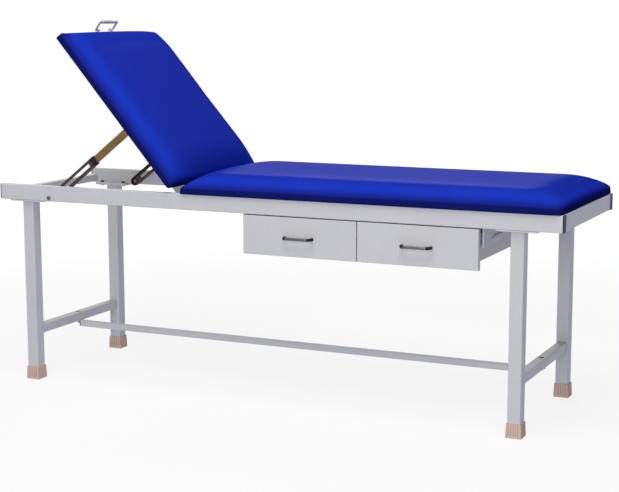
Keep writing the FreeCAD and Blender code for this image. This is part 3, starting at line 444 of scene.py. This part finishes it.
class Finishes:
    """Every material of the table, one for each slot, and those of single solids."""

    def __init__(self, backrest_turn: float) -> None:
        """Make the materials.

        Args:
            backrest_turn: Angle in radians by which the backrest board is turned up.
        """
        effects = SharedEffects()
        tan, worn_tan = (0.65, 0.47, 0.355, 1.0), (0.42, 0.29, 0.21, 1.0)
        nylon, worn_nylon = (0.70, 0.70, 0.68, 1.0), (0.6, 0.6, 0.58, 1.0)
        self.by_slot: dict[Slot, Material] = {
            Slot.POWDER_COAT: PowderCoat("powder_coat", effects).make(),
            Slot.BLACK_PLASTIC: Moulded("black_plastic", effects).make(),
            Slot.TAN_RUBBER: Moulded("tan_rubber", effects, tan, worn_tan, rough=0.62).make(),
            Slot.ZINC_STEEL: PlatedSteel("bright_zinc", effects, Plating.BRIGHT).make(),
            Slot.DARK_ZINC: PlatedSteel("dark_zinc", effects, Plating.DARK).make(),
            Slot.YELLOW_ZINC: PlatedSteel("yellow_zinc", effects, Plating.YELLOW).make(),
            Slot.PLYWOOD: Plywood("plywood", effects).make(),
            Slot.BLUE_VINYL: Vinyl("blue_vinyl", effects).make(),
            Slot.WHITE_NYLON: Moulded("white_nylon", effects, nylon, worn_nylon, rough=0.4).make(),
            Slot.PULL_METAL: PlatedSteel("pull_metal", effects, Plating.PULL).make(),
        }
        self.raised_plywood = Plywood("raised_plywood", effects, turn=backrest_turn).make()
        self.black_zinc = PlatedSteel("black_zinc", effects, Plating.BLACK).make()
        self.grey_zinc = PlatedSteel("grey_zinc", effects, Plating.BAIL).make()

    def __getitem__(self, slot: Slot) -> Material:
        """Return a slot's material."""
        return self.by_slot[slot]


def grid_faces(rows: int, columns: int, close_rows: bool = False, close_columns: bool = False) -> Array:
    """Return the quads of a grid of points, row by row.

    Args:
        rows: Number of rows.
        columns: Number of points in a row.
        close_rows: Whether the last row joins the first.
        close_columns: Whether each row's last point joins its first.

    Returns:
        An array of four point numbers for each face.
    """
    r = np.arange(rows if close_rows else rows - 1)[:, None]
    c = np.arange(columns if close_columns else columns - 1)[None, :]
    r2 = (r + 1) % rows
    c2 = (c + 1) % columns
    corners = [r * columns + c, r * columns + c2, r2 * columns + c2, r2 * columns + c]
    return np.stack([np.broadcast_to(k, (r.size, c.size)) for k in corners], axis=-1).reshape(-1, 4)


def make_piece(name: str, points: Array, faces: Array, material: Material,
               values: dict[str, Array] | None = None) -> Object:
    """Make a smooth mesh object from points and quads, with doubles merged and faces turned outwards.

    Args:
        name: Name of the piece.
        points: Corner places in metres, three columns.
        faces: Four point numbers for each face.
        material: Finish of the piece.
        values: Named numbers for each point, which the finish reads.

    Returns:
        The new object, linked into the scene at the origin.
    """
    mesh = bpy.data.meshes.new(name)
    mesh.from_pydata(points.reshape(-1, 3).tolist(), [], faces.tolist())
    for key, numbers in (values or {}).items():
        layer = mesh.attributes.new(key, "FLOAT", "POINT")
        layer.data.foreach_set("value", numbers.ravel().astype(np.float32))
    piece = bpy.data.objects.new(name, mesh)
    bpy.context.scene.collection.objects.link(piece)
    mesh.materials.append(material)
    clean_mesh(mesh)
    return piece


def clean_mesh(mesh: Mesh) -> None:
    """Merge doubles, turn faces outwards and shade a mesh smooth."""
    work = bmesh.new()
    work.from_mesh(mesh)
    bmesh.ops.remove_doubles(work, verts=work.verts, dist=MERGE_DISTANCE)
    bmesh.ops.recalc_face_normals(work, faces=work.faces)
    work.to_mesh(mesh)
    work.free()
    mesh.polygons.foreach_set("use_smooth", np.ones(len(mesh.polygons), dtype=bool))
    mesh.update()


def sweep(path: Array, profile: Array, normal: Place, closed: bool,
          swell: Array | None = None) -> Skin:
    """Carry a closed profile along a flat path.

    Each profile point (a, b) stands at path + swell * (a * side + b * normal), and side is normal x tangent.

    Args:
        path: Points of the path, in a plane across the normal.
        profile: Points of the closed profile, two columns.
        normal: Normal of the path's plane.
        closed: Whether the path's end joins its start.
        swell: Size of the profile at each path point.

    Returns:
        The points and the faces; open ends are closed by shrinking the profile to a point.
    """
    n = np.asarray(normal, float)
    if closed:
        tangent = np.roll(path, -1, 0) - np.roll(path, 1, 0)
    else:
        tangent = np.gradient(path, axis=0)
    tangent /= np.linalg.norm(tangent, axis=1, keepdims=True)
    side = np.cross(n, tangent)
    size = np.ones(len(path)) if swell is None else swell
    offset = profile[None, :, :1] * side[:, None, :] + profile[None, :, 1:] * n
    rings = path[:, None, :] + size[:, None, None] * offset
    if not closed:
        first, last = (np.repeat(end[None, None], len(profile), 1) for end in (path[0], path[-1]))
        rings = np.concatenate([first, rings, last])
    return rings.reshape(-1, 3), grid_faces(len(rings), len(profile), closed, True)


def join_parts(parts: list[Skin]) -> Skin:
    """Return several point and face sets as one."""
    starts = np.cumsum([0] + [len(points) for points, _ in parts[:-1]])
    points = np.concatenate([points for points, _ in parts])
    faces = np.concatenate([faces + start for (_, faces), start in zip(parts, starts)])
    return points, faces


def two_sheets(upper: Array, lower: Array, close_columns: bool = False) -> Skin:
    """Return two grids of points that face away from each other and share their rim."""
    faces = grid_faces(*upper.shape[:2], False, close_columns)
    return join_parts([(upper.reshape(-1, 3), faces), (lower.reshape(-1, 3), faces[:, ::-1])])


def circle(radius: float, count: int) -> Array:
    """Return points round a circle."""
    angle = np.linspace(0, 2 * np.pi, count, endpoint=False)
    return radius * np.stack([np.cos(angle), np.sin(angle)], axis=-1)


def rounded_rectangle(width: float, height: float, radius: float, steps: int) -> Array:
    """Return the outline of a rectangle with round corners, each corner an arc of a quarter circle."""
    angle = np.linspace(0, np.pi / 2, steps)
    arc = radius * np.stack([np.cos(angle), np.sin(angle)], axis=-1)
    middle = np.array([width / 2 - radius, height / 2 - radius])
    quarter = arc + middle
    flipped = quarter[::-1]
    return np.concatenate([quarter, flipped * (-1, 1), quarter * (-1, -1), flipped * (1, -1)])


def smooth_step(value: Array) -> Array:
    """Return the smooth step 3t^2 - 2t^3 of values held between 0 and 1."""
    t = np.clip(value, 0.0, 1.0)
    return t * t * (3 - 2 * t)


def quarter_ellipse(distance: Array, reach: float) -> Array:
    """Return a quarter ellipse that rises from 0 at the edge to 1 at the reach."""
    return np.sqrt(1 - np.clip(1 - distance / reach, 0, 1) ** 2)


@dataclass
class Pad:
    """One upholstered pad: a crowned cushion with rolled edges, tucked in under its board.

    Lengths are in metres. The pad is drawn lying flat and then turned up about the hinge. One of its corners
    is fuller than the others: full_corner gives that corner's signs along and across.
    """

    name: str
    node: str
    body: str
    head_x: float
    foot_x: float
    base: float
    middle_y: float
    turn: float = 0.0
    hinge: Place = (0.0, 0.0, 0.0)
    half_width: float = 294.5 * MM
    thickness: float = 70.0 * MM
    crown: float = 18.0 * MM
    roll: float = 128.0 * MM
    tuck: float = 5.0 * MM
    corner: float = 24.0 * MM
    waist: float = 15.0 * MM
    hem: float = 28.0 * MM
    hem_proud: float = 0.3 * MM
    hem_step: float = 2.5 * MM
    fullness: float = 0.6
    full_corner: Span = (1.0, 1.0)
    swell_room: float = 1.5 * MM
    swell_cap: float = 4.0 * MM
    pressure: float = 4.0
    stiffness: float = 30.0
    bending: float = 2.0
    settle_frames: int = 20
    spacing: float = 12.0 * MM
    roll_steps: int = 24
    pleat_depth: float = 1.1 * MM
    pleat_count: int = 7
    pleat_ease: float = 0.3
    pleat_top: float = 1.3
    pleat_foot: float = 6.0
    # How far in from the ends the painted shading reaches, as a share of the roll.
    painted_shade_reach: float = 0.35
    gloss: float = 0.10
    gloss_start: float = 0.92

    def stations(self, length: float) -> Array:
        """Return distances along a side: close together in the rolled edges, even in the middle."""
        turn = np.linspace(0, np.pi / 2, self.roll_steps)
        edge = self.roll * (1 - np.cos(turn))
        count = int((length - 2 * self.roll) / self.spacing)
        inner = np.linspace(self.roll, length - self.roll, count)[1:-1]
        return np.concatenate([edge, inner, (length - edge)[::-1]])

    def surface(self) -> tuple[Array, Array, dict[str, Array]]:
        """Return the closed surface of the flat pad.

        The plan is a rectangle with round corners. The top's lift is the product of two quarter ellipses, of
        the distances to the nearer end and side, and goes over to the lesser one towards the fuller corner.
        A parabola crowns it. The underside falls from the waist to the base within the tuck, lies flat as far
        as the hem reaches and then steps up into the board.

        Returns:
            Points and faces of both sheets, and for each point its painted shading, from 0 in the tuck,
            painted darkest, to 1 on the top, and its gloss, which the rolled edges lack.
        """
        x0, x1 = self.head_x + self.swell_room, self.foot_x - self.swell_room
        half = self.half_width - self.swell_room
        along = self.stations(x1 - x0)[:, None]
        across = self.stations(2 * half)[None, :]
        from_end = np.minimum(along, along[-1, 0] - along)
        into = np.clip(1 - from_end / self.corner, 0, 1)
        width = half - self.corner * (1 - np.sqrt(1 - into ** 2))
        y = (across - half) / half * width
        from_side = width - np.abs(y)
        end_rise, side_rise = quarter_ellipse(from_end, self.roll), quarter_ellipse(from_side, self.roll)
        end_sign, side_sign = self.full_corner
        near_end = smooth_step(0.5 + end_sign * (along / along[-1, 0] - 0.5))
        near_side = smooth_step(0.5 + side_sign * y / half / 2)
        lift = end_rise * side_rise
        lift = lift + self.fullness * near_end * near_side * (np.minimum(end_rise, side_rise) - lift)
        full = self.thickness - self.swell_room - self.waist - self.crown
        top = self.waist + lift * (full + self.crown * (1 - (y / half) ** 2))
        drop = quarter_ellipse(from_end, self.tuck) * quarter_ellipse(from_side, self.tuck)
        low = self.waist * (1 - drop) - self.hem_proud * drop
        low = low + self.hem_step * smooth_step((np.minimum(from_end, from_side) - self.hem) / self.tuck)
        x = np.broadcast_to(x0 + along, y.shape)
        sheets = [np.stack([x, y + self.middle_y, self.base + z], axis=-1) for z in (top, low)]
        # Painted shading for the vinyl: 0 in the tuck and on the underside, painted darkest, rising over the
        # rolled edges to 1 on the top.
        shade = quarter_ellipse(from_end, self.painted_shade_reach * self.roll) * side_rise
        gloss = self.gloss * smooth_step((lift - self.gloss_start) / (1 - self.gloss_start))
        under = np.zeros(lift.size)
        values = {PAINTED_SHADING: np.append(shade, under), GLOSS: np.append(gloss, under)}
        return *two_sheets(*sheets), values

    @staticmethod
    def places(mesh: Mesh) -> Array:
        """Return the point places of a mesh."""
        flat = np.empty(len(mesh.vertices) * 3)
        mesh.vertices.foreach_get("co", flat)
        return flat.reshape(-1, 3)

    @staticmethod
    def store(mesh: Mesh, points: Array) -> None:
        """Put new point places into a mesh."""
        mesh.vertices.foreach_set("co", points.ravel())
        mesh.update()

    def inflate(self, pad: Object) -> None:
        """Swell the pad as cloth under pressure, within the cap, and keep its underside flat."""
        rest = self.places(pad.data)
        cloth = pad.modifiers.new("stuffing", "CLOTH")
        cloth.settings.use_pressure = True
        cloth.settings.uniform_pressure_force = self.pressure
        cloth.settings.tension_stiffness = self.stiffness
        cloth.settings.compression_stiffness = self.stiffness
        cloth.settings.bending_stiffness = self.bending
        cloth.settings.effector_weights.gravity = 0.0
        scene = bpy.context.scene
        for number in range(1, self.settle_frames + 1):
            scene.frame_set(number)
        move = self.places(pad.evaluated_get(bpy.context.evaluated_depsgraph_get()).to_mesh()) - rest
        pad.modifiers.remove(cloth)
        scene.frame_set(1)
        length = np.linalg.norm(move, axis=1, keepdims=True)
        move *= np.minimum(1.0, self.swell_cap / np.maximum(length, TINY))
        move *= smooth_step((rest[:, 2:] - self.base) / self.waist)
        self.store(pad.data, rest + move)

    def pleat(self, mesh: Mesh) -> None:
        """Fold small pleats into the lower corners, where the vinyl is gathered under the board."""
        place = self.places(mesh)
        middle_x = (self.head_x + self.foot_x) / 2
        corner_x = (self.foot_x - self.head_x) / 2 - self.corner
        corner_y = self.half_width - self.corner
        out_x = np.abs(place[:, 0] - middle_x) - corner_x
        out_y = np.abs(place[:, 1] - self.middle_y) - corner_y
        angle = np.arctan2(np.maximum(out_y, 0), np.maximum(out_x, 0))
        in_corner = smooth_step(np.minimum(out_x, out_y) / (self.pleat_ease * self.corner) + self.pleat_ease)
        height = (place[:, 2] - self.base) / self.waist
        low = smooth_step(self.pleat_top - height) * smooth_step(height * self.pleat_foot)
        wave = np.cos(angle * 4 * self.pleat_count) * self.pleat_depth * in_corner * low
        direction = np.stack([np.sign(place[:, 0] - middle_x) * np.cos(angle),
                              np.sign(place[:, 1] - self.middle_y) * np.sin(angle), 0 * angle], axis=-1)
        self.store(mesh, place - direction * np.abs(wave)[:, None])

    def turn_up(self, mesh: Mesh) -> None:
        """Turn a mesh that is drawn flat up about the hinge."""
        pivot = Matrix.Translation(Vector(self.hinge))
        mesh.transform(pivot @ Matrix.Rotation(self.turn, 4, "Y") @ pivot.inverted())

    def build(self, finishes: Finishes) -> Object:
        """Make the pad, swell it, pleat it, turn it up and let it stand for its solid."""
        points, faces, values = self.surface()
        pad = make_piece(self.name, points, faces, finishes[Slot.BLUE_VINYL], values)
        self.inflate(pad)
        self.pleat(pad.data)
        self.turn_up(pad.data)
        smooth = pad.modifiers.new("smooth", "SUBSURF")
        smooth.levels = smooth.render_levels = 1
        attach(pad, self.body)
        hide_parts(self.node)
        return pad


@dataclass
class HemStaples:
    """Staples along a pad's hem: each a short wire with sunk ends, nearly flush with the vinyl."""

    pad: Pad
    inset: float = 17.0 * MM
    pitch: float = 38.0 * MM
    length: float = 11.0 * MM
    wire: float = 0.7 * MM
    proud: float = 0.15 * MM
    handle_room: float = 85.0 * MM
    bearer_room: Span = (155.0 * MM, 225.0 * MM)
    wire_points: int = 7
    wire_sides: int = 6

    def places(self) -> tuple[Array, Array]:
        """Return the staples' middles in plan and their directions, clear of the straps and bearers."""
        pad = self.pad
        x = np.arange(pad.head_x + 2 * self.inset, pad.foot_x - 2 * self.inset, self.pitch)
        half = pad.half_width - self.inset
        y = np.arange(-half + self.inset, half, self.pitch)
        head = y[np.abs(y) > self.handle_room]
        foot = y[(np.abs(y) < self.bearer_room[0]) | (np.abs(y) > self.bearer_room[1])]
        rows = [np.stack([x, np.full(x.shape, side * half)], axis=-1) for side in (-1, 1)]
        rows += [np.stack([np.full(row.shape, edge), row], axis=-1)
                 for row, edge in ((head, pad.head_x + self.inset), (foot, pad.foot_x - self.inset))]
        along_x = np.arange(sum(map(len, rows))) < 2 * len(x)
        return np.concatenate(rows), np.stack([along_x, ~along_x], axis=-1).astype(float)

    def build(self, finishes: Finishes) -> Object:
        """Make the staples, turn them up with the pad and let them ride on its body."""
        middles, directions = self.places()
        level = self.pad.base - self.pad.hem_proud - self.proud + self.wire
        run = np.linspace(-0.5, 0.5, self.wire_points)[:, None] * self.length
        # The wire sinks three radii over the last sixth of its length at each end.
        sink = 3 * self.wire * smooth_step(np.abs(run) / self.length * 6 - 2)
        profile = circle(self.wire, self.wire_sides)
        parts = []
        for middle, direction in zip(middles, directions):
            flat = middle + (0.0, self.pad.middle_y) + run * direction
            normal = (-direction[1], direction[0], 0.0)
            parts.append(sweep(np.concatenate([flat, level + sink], axis=1), profile, normal, False))
        piece = make_piece(self.pad.name + "_staples", *join_parts(parts), finishes[Slot.ZINC_STEEL])
        self.pad.turn_up(piece.data)
        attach(piece, self.pad.body)
        return piece


@dataclass
class HangerBead:
    """A stiffening bead pressed outwards in an outer drawer hanger; its size is half lengths and height."""

    node: str
    outward: float
    sheet: float = 2.0 * MM
    size: Place = (58.0 * MM, 11.0 * MM, 4.5 * MM)
    behind: float = 132.0 * MM
    drop: float = 44.0 * MM
    rings: int = 10
    spokes: int = 36

    def dome(self) -> Skin:
        """Return the bead's points and faces.

        The bead stands over an ellipse on the hanger's outer face. Its height falls from the middle as the
        root of 1 - r^4, where r is the share of the way out to the rim, and a flat back closes it.
        """
        low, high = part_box(self.node)
        face = (low[0] + high[0]) / 2 + self.outward * self.sheet / 2
        r = np.sin(np.linspace(0, np.pi / 2, self.rings))[:, None]
        angle = np.linspace(0, 2 * np.pi, self.spokes, endpoint=False)[None, :]
        y = low[1] + self.behind + self.size[0] * r * np.cos(angle)
        z = high[2] - self.drop + self.size[1] * r * np.sin(angle)
        rise = self.size[2] * np.sqrt(1 - r ** 4)
        sheets = [np.stack([np.broadcast_to(face + self.outward * x, y.shape), y, z], axis=-1)
                  for x in (rise, 0 * rise)]
        return two_sheets(*sheets, close_columns=True)

    def build(self, finishes: Finishes) -> list[Object]:
        """Make the painted bead."""
        piece = make_piece(self.node + "_bead", *self.dome(), finishes[Slot.POWDER_COAT])
        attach(piece, "frame")
        return [piece]


@dataclass
class BowPull:
    """A drawer's bow pull: a flat bowed bar held between two dark ends that turn in to the front.

    The section is depth, height and corner radius. The bar is a little slimmer than the ends.
    """

    side: str
    bar_half: float = 36.0 * MM
    end_reach: float = 46.0 * MM
    section: Place = (6.5 * MM, 9.0 * MM, 2.4 * MM)
    bar_size: float = 0.92
    powers: Span = (7, 1 / 3)
    bar_steps: int = 41
    end_steps: int = 29
    corner_steps: int = 5

    def path(self, t: Array, middle: Array, depth: float) -> Array:
        """Return the pull's centre line: level in the middle, turned in to the front as a superellipse.

        Args:
            t: Places along the pull from -1 to 1.
            middle: Middle of the pull on the drawer's front.
            depth: How far the line stands out.

        Returns:
            Points of the line.
        """
        inner, outer = self.powers
        out = depth * (1 - np.abs(t) ** inner) ** outer
        return middle + np.stack([self.end_reach * t, -out, np.zeros_like(t)], axis=-1)

    def build(self, finishes: Finishes) -> list[Object]:
        """Make the bar and the two ends, and let them stand for the solid pull."""
        node = self.side + "_drawer_pull"
        low, high = (np.array(corner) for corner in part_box(node))
        middle = np.array([(low[0] + high[0]) / 2, high[1], (low[2] + high[2]) / 2])
        depth = high[1] - low[1] - self.section[0] / 2
        profile = rounded_rectangle(*self.section, self.corner_steps)
        split = self.bar_half / self.end_reach
        end = np.sin(np.linspace(np.arcsin(split), np.pi / 2, self.end_steps))
        spans = {
            "bar": (np.linspace(-split, split, self.bar_steps), self.bar_size, finishes[Slot.PULL_METAL]),
            "head_end": (-end[::-1], 1.0, finishes[Slot.BLACK_PLASTIC]),
            "foot_end": (end, 1.0, finishes[Slot.BLACK_PLASTIC]),
        }
        pieces = []
        for part, (t, size, material) in spans.items():
            line = self.path(t, middle, depth)
            points, faces = sweep(line, profile, (0, 0, 1), False, np.full(len(t), size))
            piece = make_piece(self.side + "_pull_" + part, points, faces, material)
            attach(piece, self.side + "_drawer")
            pieces.append(piece)
        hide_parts(node)
        return pieces


@dataclass
class WeldBeads:
    """Painted weld beads round the tube ends: a rippled half-round bead carried round each tube."""

    bead: float = 1.7 * MM
    ripple: float = 0.16
    ripple_pitch: float = 2.6 * MM
    step: float = 0.9 * MM
    corner: float = 3.0 * MM
    corner_steps: int = 5
    sides: int = 8

    def loop(self, centre: Place, width: float, height: float, axis: Axis) -> Skin:
        """Return one bead round a tube's end.

        Args:
            centre: Middle of the tube's end.
            width: Tube's first side.
            height: Tube's second side.
            axis: Direction that the tube runs in.

        Returns:
            Points and faces of the bead.
        """
        normal, filled = axis.value
        outline = rounded_rectangle(width, height, self.corner, self.corner_steps)
        ring = np.concatenate([outline, outline[:1]])
        run = np.concatenate([[0], np.cumsum(np.linalg.norm(np.diff(ring, axis=0), axis=1))])
        even = np.linspace(0, run[-1], int(run[-1] / self.step), endpoint=False)
        line = np.zeros((len(even), 3))
        line[:, filled] = np.stack([np.interp(even, run, ring[:, i]) for i in (0, 1)], axis=-1)
        swell = 1 + self.ripple * np.sin(2 * np.pi * even / self.ripple_pitch)
        return sweep(line + np.array(centre), circle(self.bead, self.sides), normal, True, swell)

    def build(self, finishes: Finishes) -> Object:
        """Make the beads of the stretchers, the cross rails and the leg tops as one piece."""
        parts = []
        for node in ("head_cross_stretcher", "foot_cross_stretcher", "head_end_rail", "foot_end_rail",
                     "hinge_cross_rail", "seat_bearer_head", "seat_bearer_middle", "seat_bearer_foot"):
            low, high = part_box(node)
            middle_x, middle_z = (low[0] + high[0]) / 2, (low[2] + high[2]) / 2
            for y in (low[1], high[1]):
                parts.append(self.loop((middle_x, y, middle_z), high[0] - low[0], high[2] - low[2], Axis.Y))
        for node in ("front_head_leg", "rear_head_leg", "front_foot_leg", "rear_foot_leg"):
            low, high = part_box(node)
            centre = ((low[0] + high[0]) / 2, (low[1] + high[1]) / 2, high[2])
            parts.append(self.loop(centre, high[0] - low[0], high[1] - low[1], Axis.Z))
        piece = make_piece("weld_beads", *join_parts(parts), finishes[Slot.POWDER_COAT])
        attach(piece, "frame")
        return piece


@dataclass
class Table:
    """The whole table: its hinge, its pads, pulls and beads, and the finish of every solid.

    The backrest pad's ends lie back_head and back_foot from the hinge, and its underside back_drop below it.
    """

    finishes: Finishes
    hinge: Place
    turn: float
    rail_top: float
    middle_y: float
    back_head: float = 634.0 * MM
    back_foot: float = 11.0 * MM
    back_drop: float = 10.0 * MM

    @classmethod
    def from_frame(cls) -> "Table":
        """Read the hinge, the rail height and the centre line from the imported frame."""
        joint = next(j for j in frame["joints"] if j["name"] == "backrest_hinge")
        turn = math.radians(-joint["range_deg"][0])
        _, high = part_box("front_long_rail")
        return cls(Finishes(turn), tuple(joint["pos_m"]), turn, high[2], joint["pos_m"][1])

    def dress_solids(self) -> None:
        """Give every solid the material of its slot, or its own where it has one."""
        slots = {part["node"]: part["material_slot"] for part in frame["record"]["subparts"]}
        bolts = self.finishes[Slot.PULL_METAL]
        own = {"backrest_board": self.finishes.raised_plywood, "handle_bail": self.finishes.grey_zinc,
               "front_strut_catch": self.finishes.black_zinc, "rear_strut_catch": self.finishes.black_zinc,
               "leg_bolts": bolts, "strut_pivot_bolts": bolts}
        for name, node in frame["nodes"].items():
            material = own.get(name, self.finishes[Slot(slots[name])])
            node.data.materials.clear()
            node.data.materials.append(material)
            LOG.info("dressed %s as %s", name, material.name)

    def build_pads(self) -> None:
        """Make the seat, the backrest pad and the staples under the backrest."""
        low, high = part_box("seat_cushion")
        seat = Pad("seat_pad", "seat_cushion", "frame", low[0], high[0], self.rail_top, self.middle_y)
        hinge_x, _, hinge_z = self.hinge
        back = Pad("backrest_pad", "backrest_cushion", "backrest", hinge_x - self.back_head,
                   hinge_x - self.back_foot, hinge_z - self.back_drop, self.middle_y, self.turn, self.hinge,
                   half_width=298.5 * MM, thickness=72.0 * MM, tuck=3.0 * MM, corner=12.0 * MM,
                   gloss=0.02, fullness=1.0, full_corner=(-1.0, -1.0))
        for pad in (seat, back, HemStaples(back)):
            LOG.info("made %s", pad.build(self.finishes).name)

    def build_details(self) -> None:
        """Make the drawer pulls, the hangers' beads and the weld beads."""
        small = (BowPull("left"), BowPull("right"), HangerBead("drawer_hanger_head", -1.0),
                 HangerBead("drawer_hanger_foot", 1.0))
        for group in small:
            for piece in group.build(self.finishes):
                LOG.info("made %s", piece.name)
        LOG.info("made %s", WeldBeads().build(self.finishes).name)


@dataclass(frozen=True)
class Lamp:
    """A square soft lamp of a slightly warm white that faces a point."""

    name: str
    place: Place
    target: Place
    size: float
    power: float
    colour: Place = (1.0, 0.99, 0.94)

    def build(self) -> None:
        """Make the lamp and turn it to its target."""
        light = bpy.data.lights.new(self.name, "AREA")
        light.color = self.colour
        light.size = self.size
        light.energy = self.power
        holder = bpy.data.objects.new(self.name, light)
        holder.location = self.place
        holder.rotation_euler = (Vector(self.target) - Vector(self.place)).to_track_quat("-Z", "Y").to_euler()
        bpy.context.scene.collection.objects.link(holder)


@dataclass
class Studio:
    """Pale floor, white background, soft lamps and the camera at the photograph's place.

    The floor glows for the camera, more so away from the table, and other rays meet its bounce.
    """

    WHITE = (1.0, 1.0, 1.0, 1.0)

    camera_place: Place = (2.016, -4.1955, 1.208)
    azimuth: float = math.radians(25.14)
    elevation: float = math.radians(9.03)
    roll: float = math.radians(-0.11)
    focal_pixels: float = 1462.0
    image_width: float = 619.0
    sensor: float = 36.0
    far: float = 100.0
    floor_half: float = 30.0
    paint: Colour = (0.86, 0.86, 0.86, 1.0)
    bounce: Colour = (0.56, 0.60, 0.80, 1.0)
    glow_reach: Span = (1.2, 5.0)
    glow_strength: Span = (0.985, 1.16)
    glow_share: float = 0.86
    sky: Colour = (0.62, 0.65, 1.02, 1.0)
    sky_strength: Span = (0.21, 1.0)
    lamps: tuple[Lamp, ...] = (
        Lamp("front", (1.1, -5.2, 1.55), (0.1, 0.0, 0.5), 3.0, 126.0),
        Lamp("rear", (-2.0, 4.6, 4.6), (0.0, 0.0, 0.5), 2.6, 120.0),
        Lamp("top", (0.4, -1.6, 4.5), (0.1, 0.0, 0.6), 3.0, 160.0),
    )

    def build(self) -> None:
        """Make the floor, the world, the lamps and the camera."""
        self.make_floor()
        self.make_world()
        for lamp in self.lamps:
            lamp.build()
        self.make_camera()
        bpy.context.scene.view_settings.view_transform = "Standard"

    def make_floor(self) -> None:
        """Make the floor, which shows nearly white to the camera and keeps the table's shadow."""
        h = self.floor_half
        corners = np.array([[-h, -h, 0], [h, -h, 0], [-h, h, 0], [h, h, 0]], float)
        material = bpy.data.materials.new("pale_floor")
        material.use_nodes = True
        graph = Graph(material.node_tree)
        paint = graph.add("BsdfDiffuse", {"Color": self.paint})
        bounce = graph.add("Emission", {"Color": self.bounce})
        away = graph.add("VectorMath", {0: graph.place()}, operation="LENGTH").outputs["Value"]
        strength = graph.spread(away, *self.glow_reach, *self.glow_strength, smooth=True)
        glow = graph.add("Emission", {"Color": self.WHITE, "Strength": strength})
        lit = graph.add("MixShader", {0: self.glow_share, 1: paint.outputs[0], 2: glow.outputs[0]})
        seen = self.background_rays(graph)
        both = graph.add("MixShader", {0: seen, 1: bounce.outputs[0], 2: lit.outputs[0]})
        graph.add("OutputMaterial", {"Surface": both.outputs[0]})
        make_piece("floor", corners, grid_faces(2, 2), material)

    @staticmethod
    def background_rays(graph: Graph) -> NodeSocket:
        """Return 1 for rays that see the background: from the camera, a gloss or a glass."""
        rays = graph.add("LightPath").outputs
        seen = graph.maths("MAXIMUM", rays["Is Camera Ray"], rays["Is Glossy Ray"])
        return graph.maths("MAXIMUM", seen, rays["Is Transmission Ray"])

    def make_world(self) -> None:
        """Make a white background with a weak even light."""
        world = bpy.data.worlds.new("studio")
        bpy.context.scene.world = world
        world.use_nodes = True
        graph = Graph(world.node_tree)
        seen = self.background_rays(graph)
        strength = graph.spread(seen, 0.0, 1.0, *self.sky_strength)
        tint = graph.blend(seen, self.sky, self.WHITE)
        light = graph.add("Background", {"Color": tint, "Strength": strength})
        graph.add("OutputWorld", {"Surface": light.outputs[0]})

    def make_camera(self) -> None:
        """Make the camera with the photograph's place, direction and field of view."""
        lens = bpy.data.cameras.new("camera")
        lens.sensor_fit = "HORIZONTAL"
        lens.sensor_width = self.sensor
        lens.lens = self.focal_pixels / self.image_width * self.sensor
        lens.clip_end = self.far
        camera = bpy.data.objects.new("camera", lens)
        tilt = Matrix.Rotation(math.pi / 2 - self.elevation, 4, "X") @ Matrix.Rotation(self.roll, 4, "Z")
        turn = Matrix.Rotation(self.azimuth, 4, "Z") @ tilt
        camera.matrix_world = Matrix.Translation(self.camera_place) @ turn
        bpy.context.scene.collection.objects.link(camera)
        bpy.context.scene.camera = camera


def main() -> None:
    """Build the table and its studio."""
    logging.basicConfig(level=logging.INFO, format="%(name)s: %(message)s")
    table = Table.from_frame()
    table.dress_solids()
    table.build_pads()
    table.build_details()
    Studio().build()


if __name__ == "__main__":
    main()
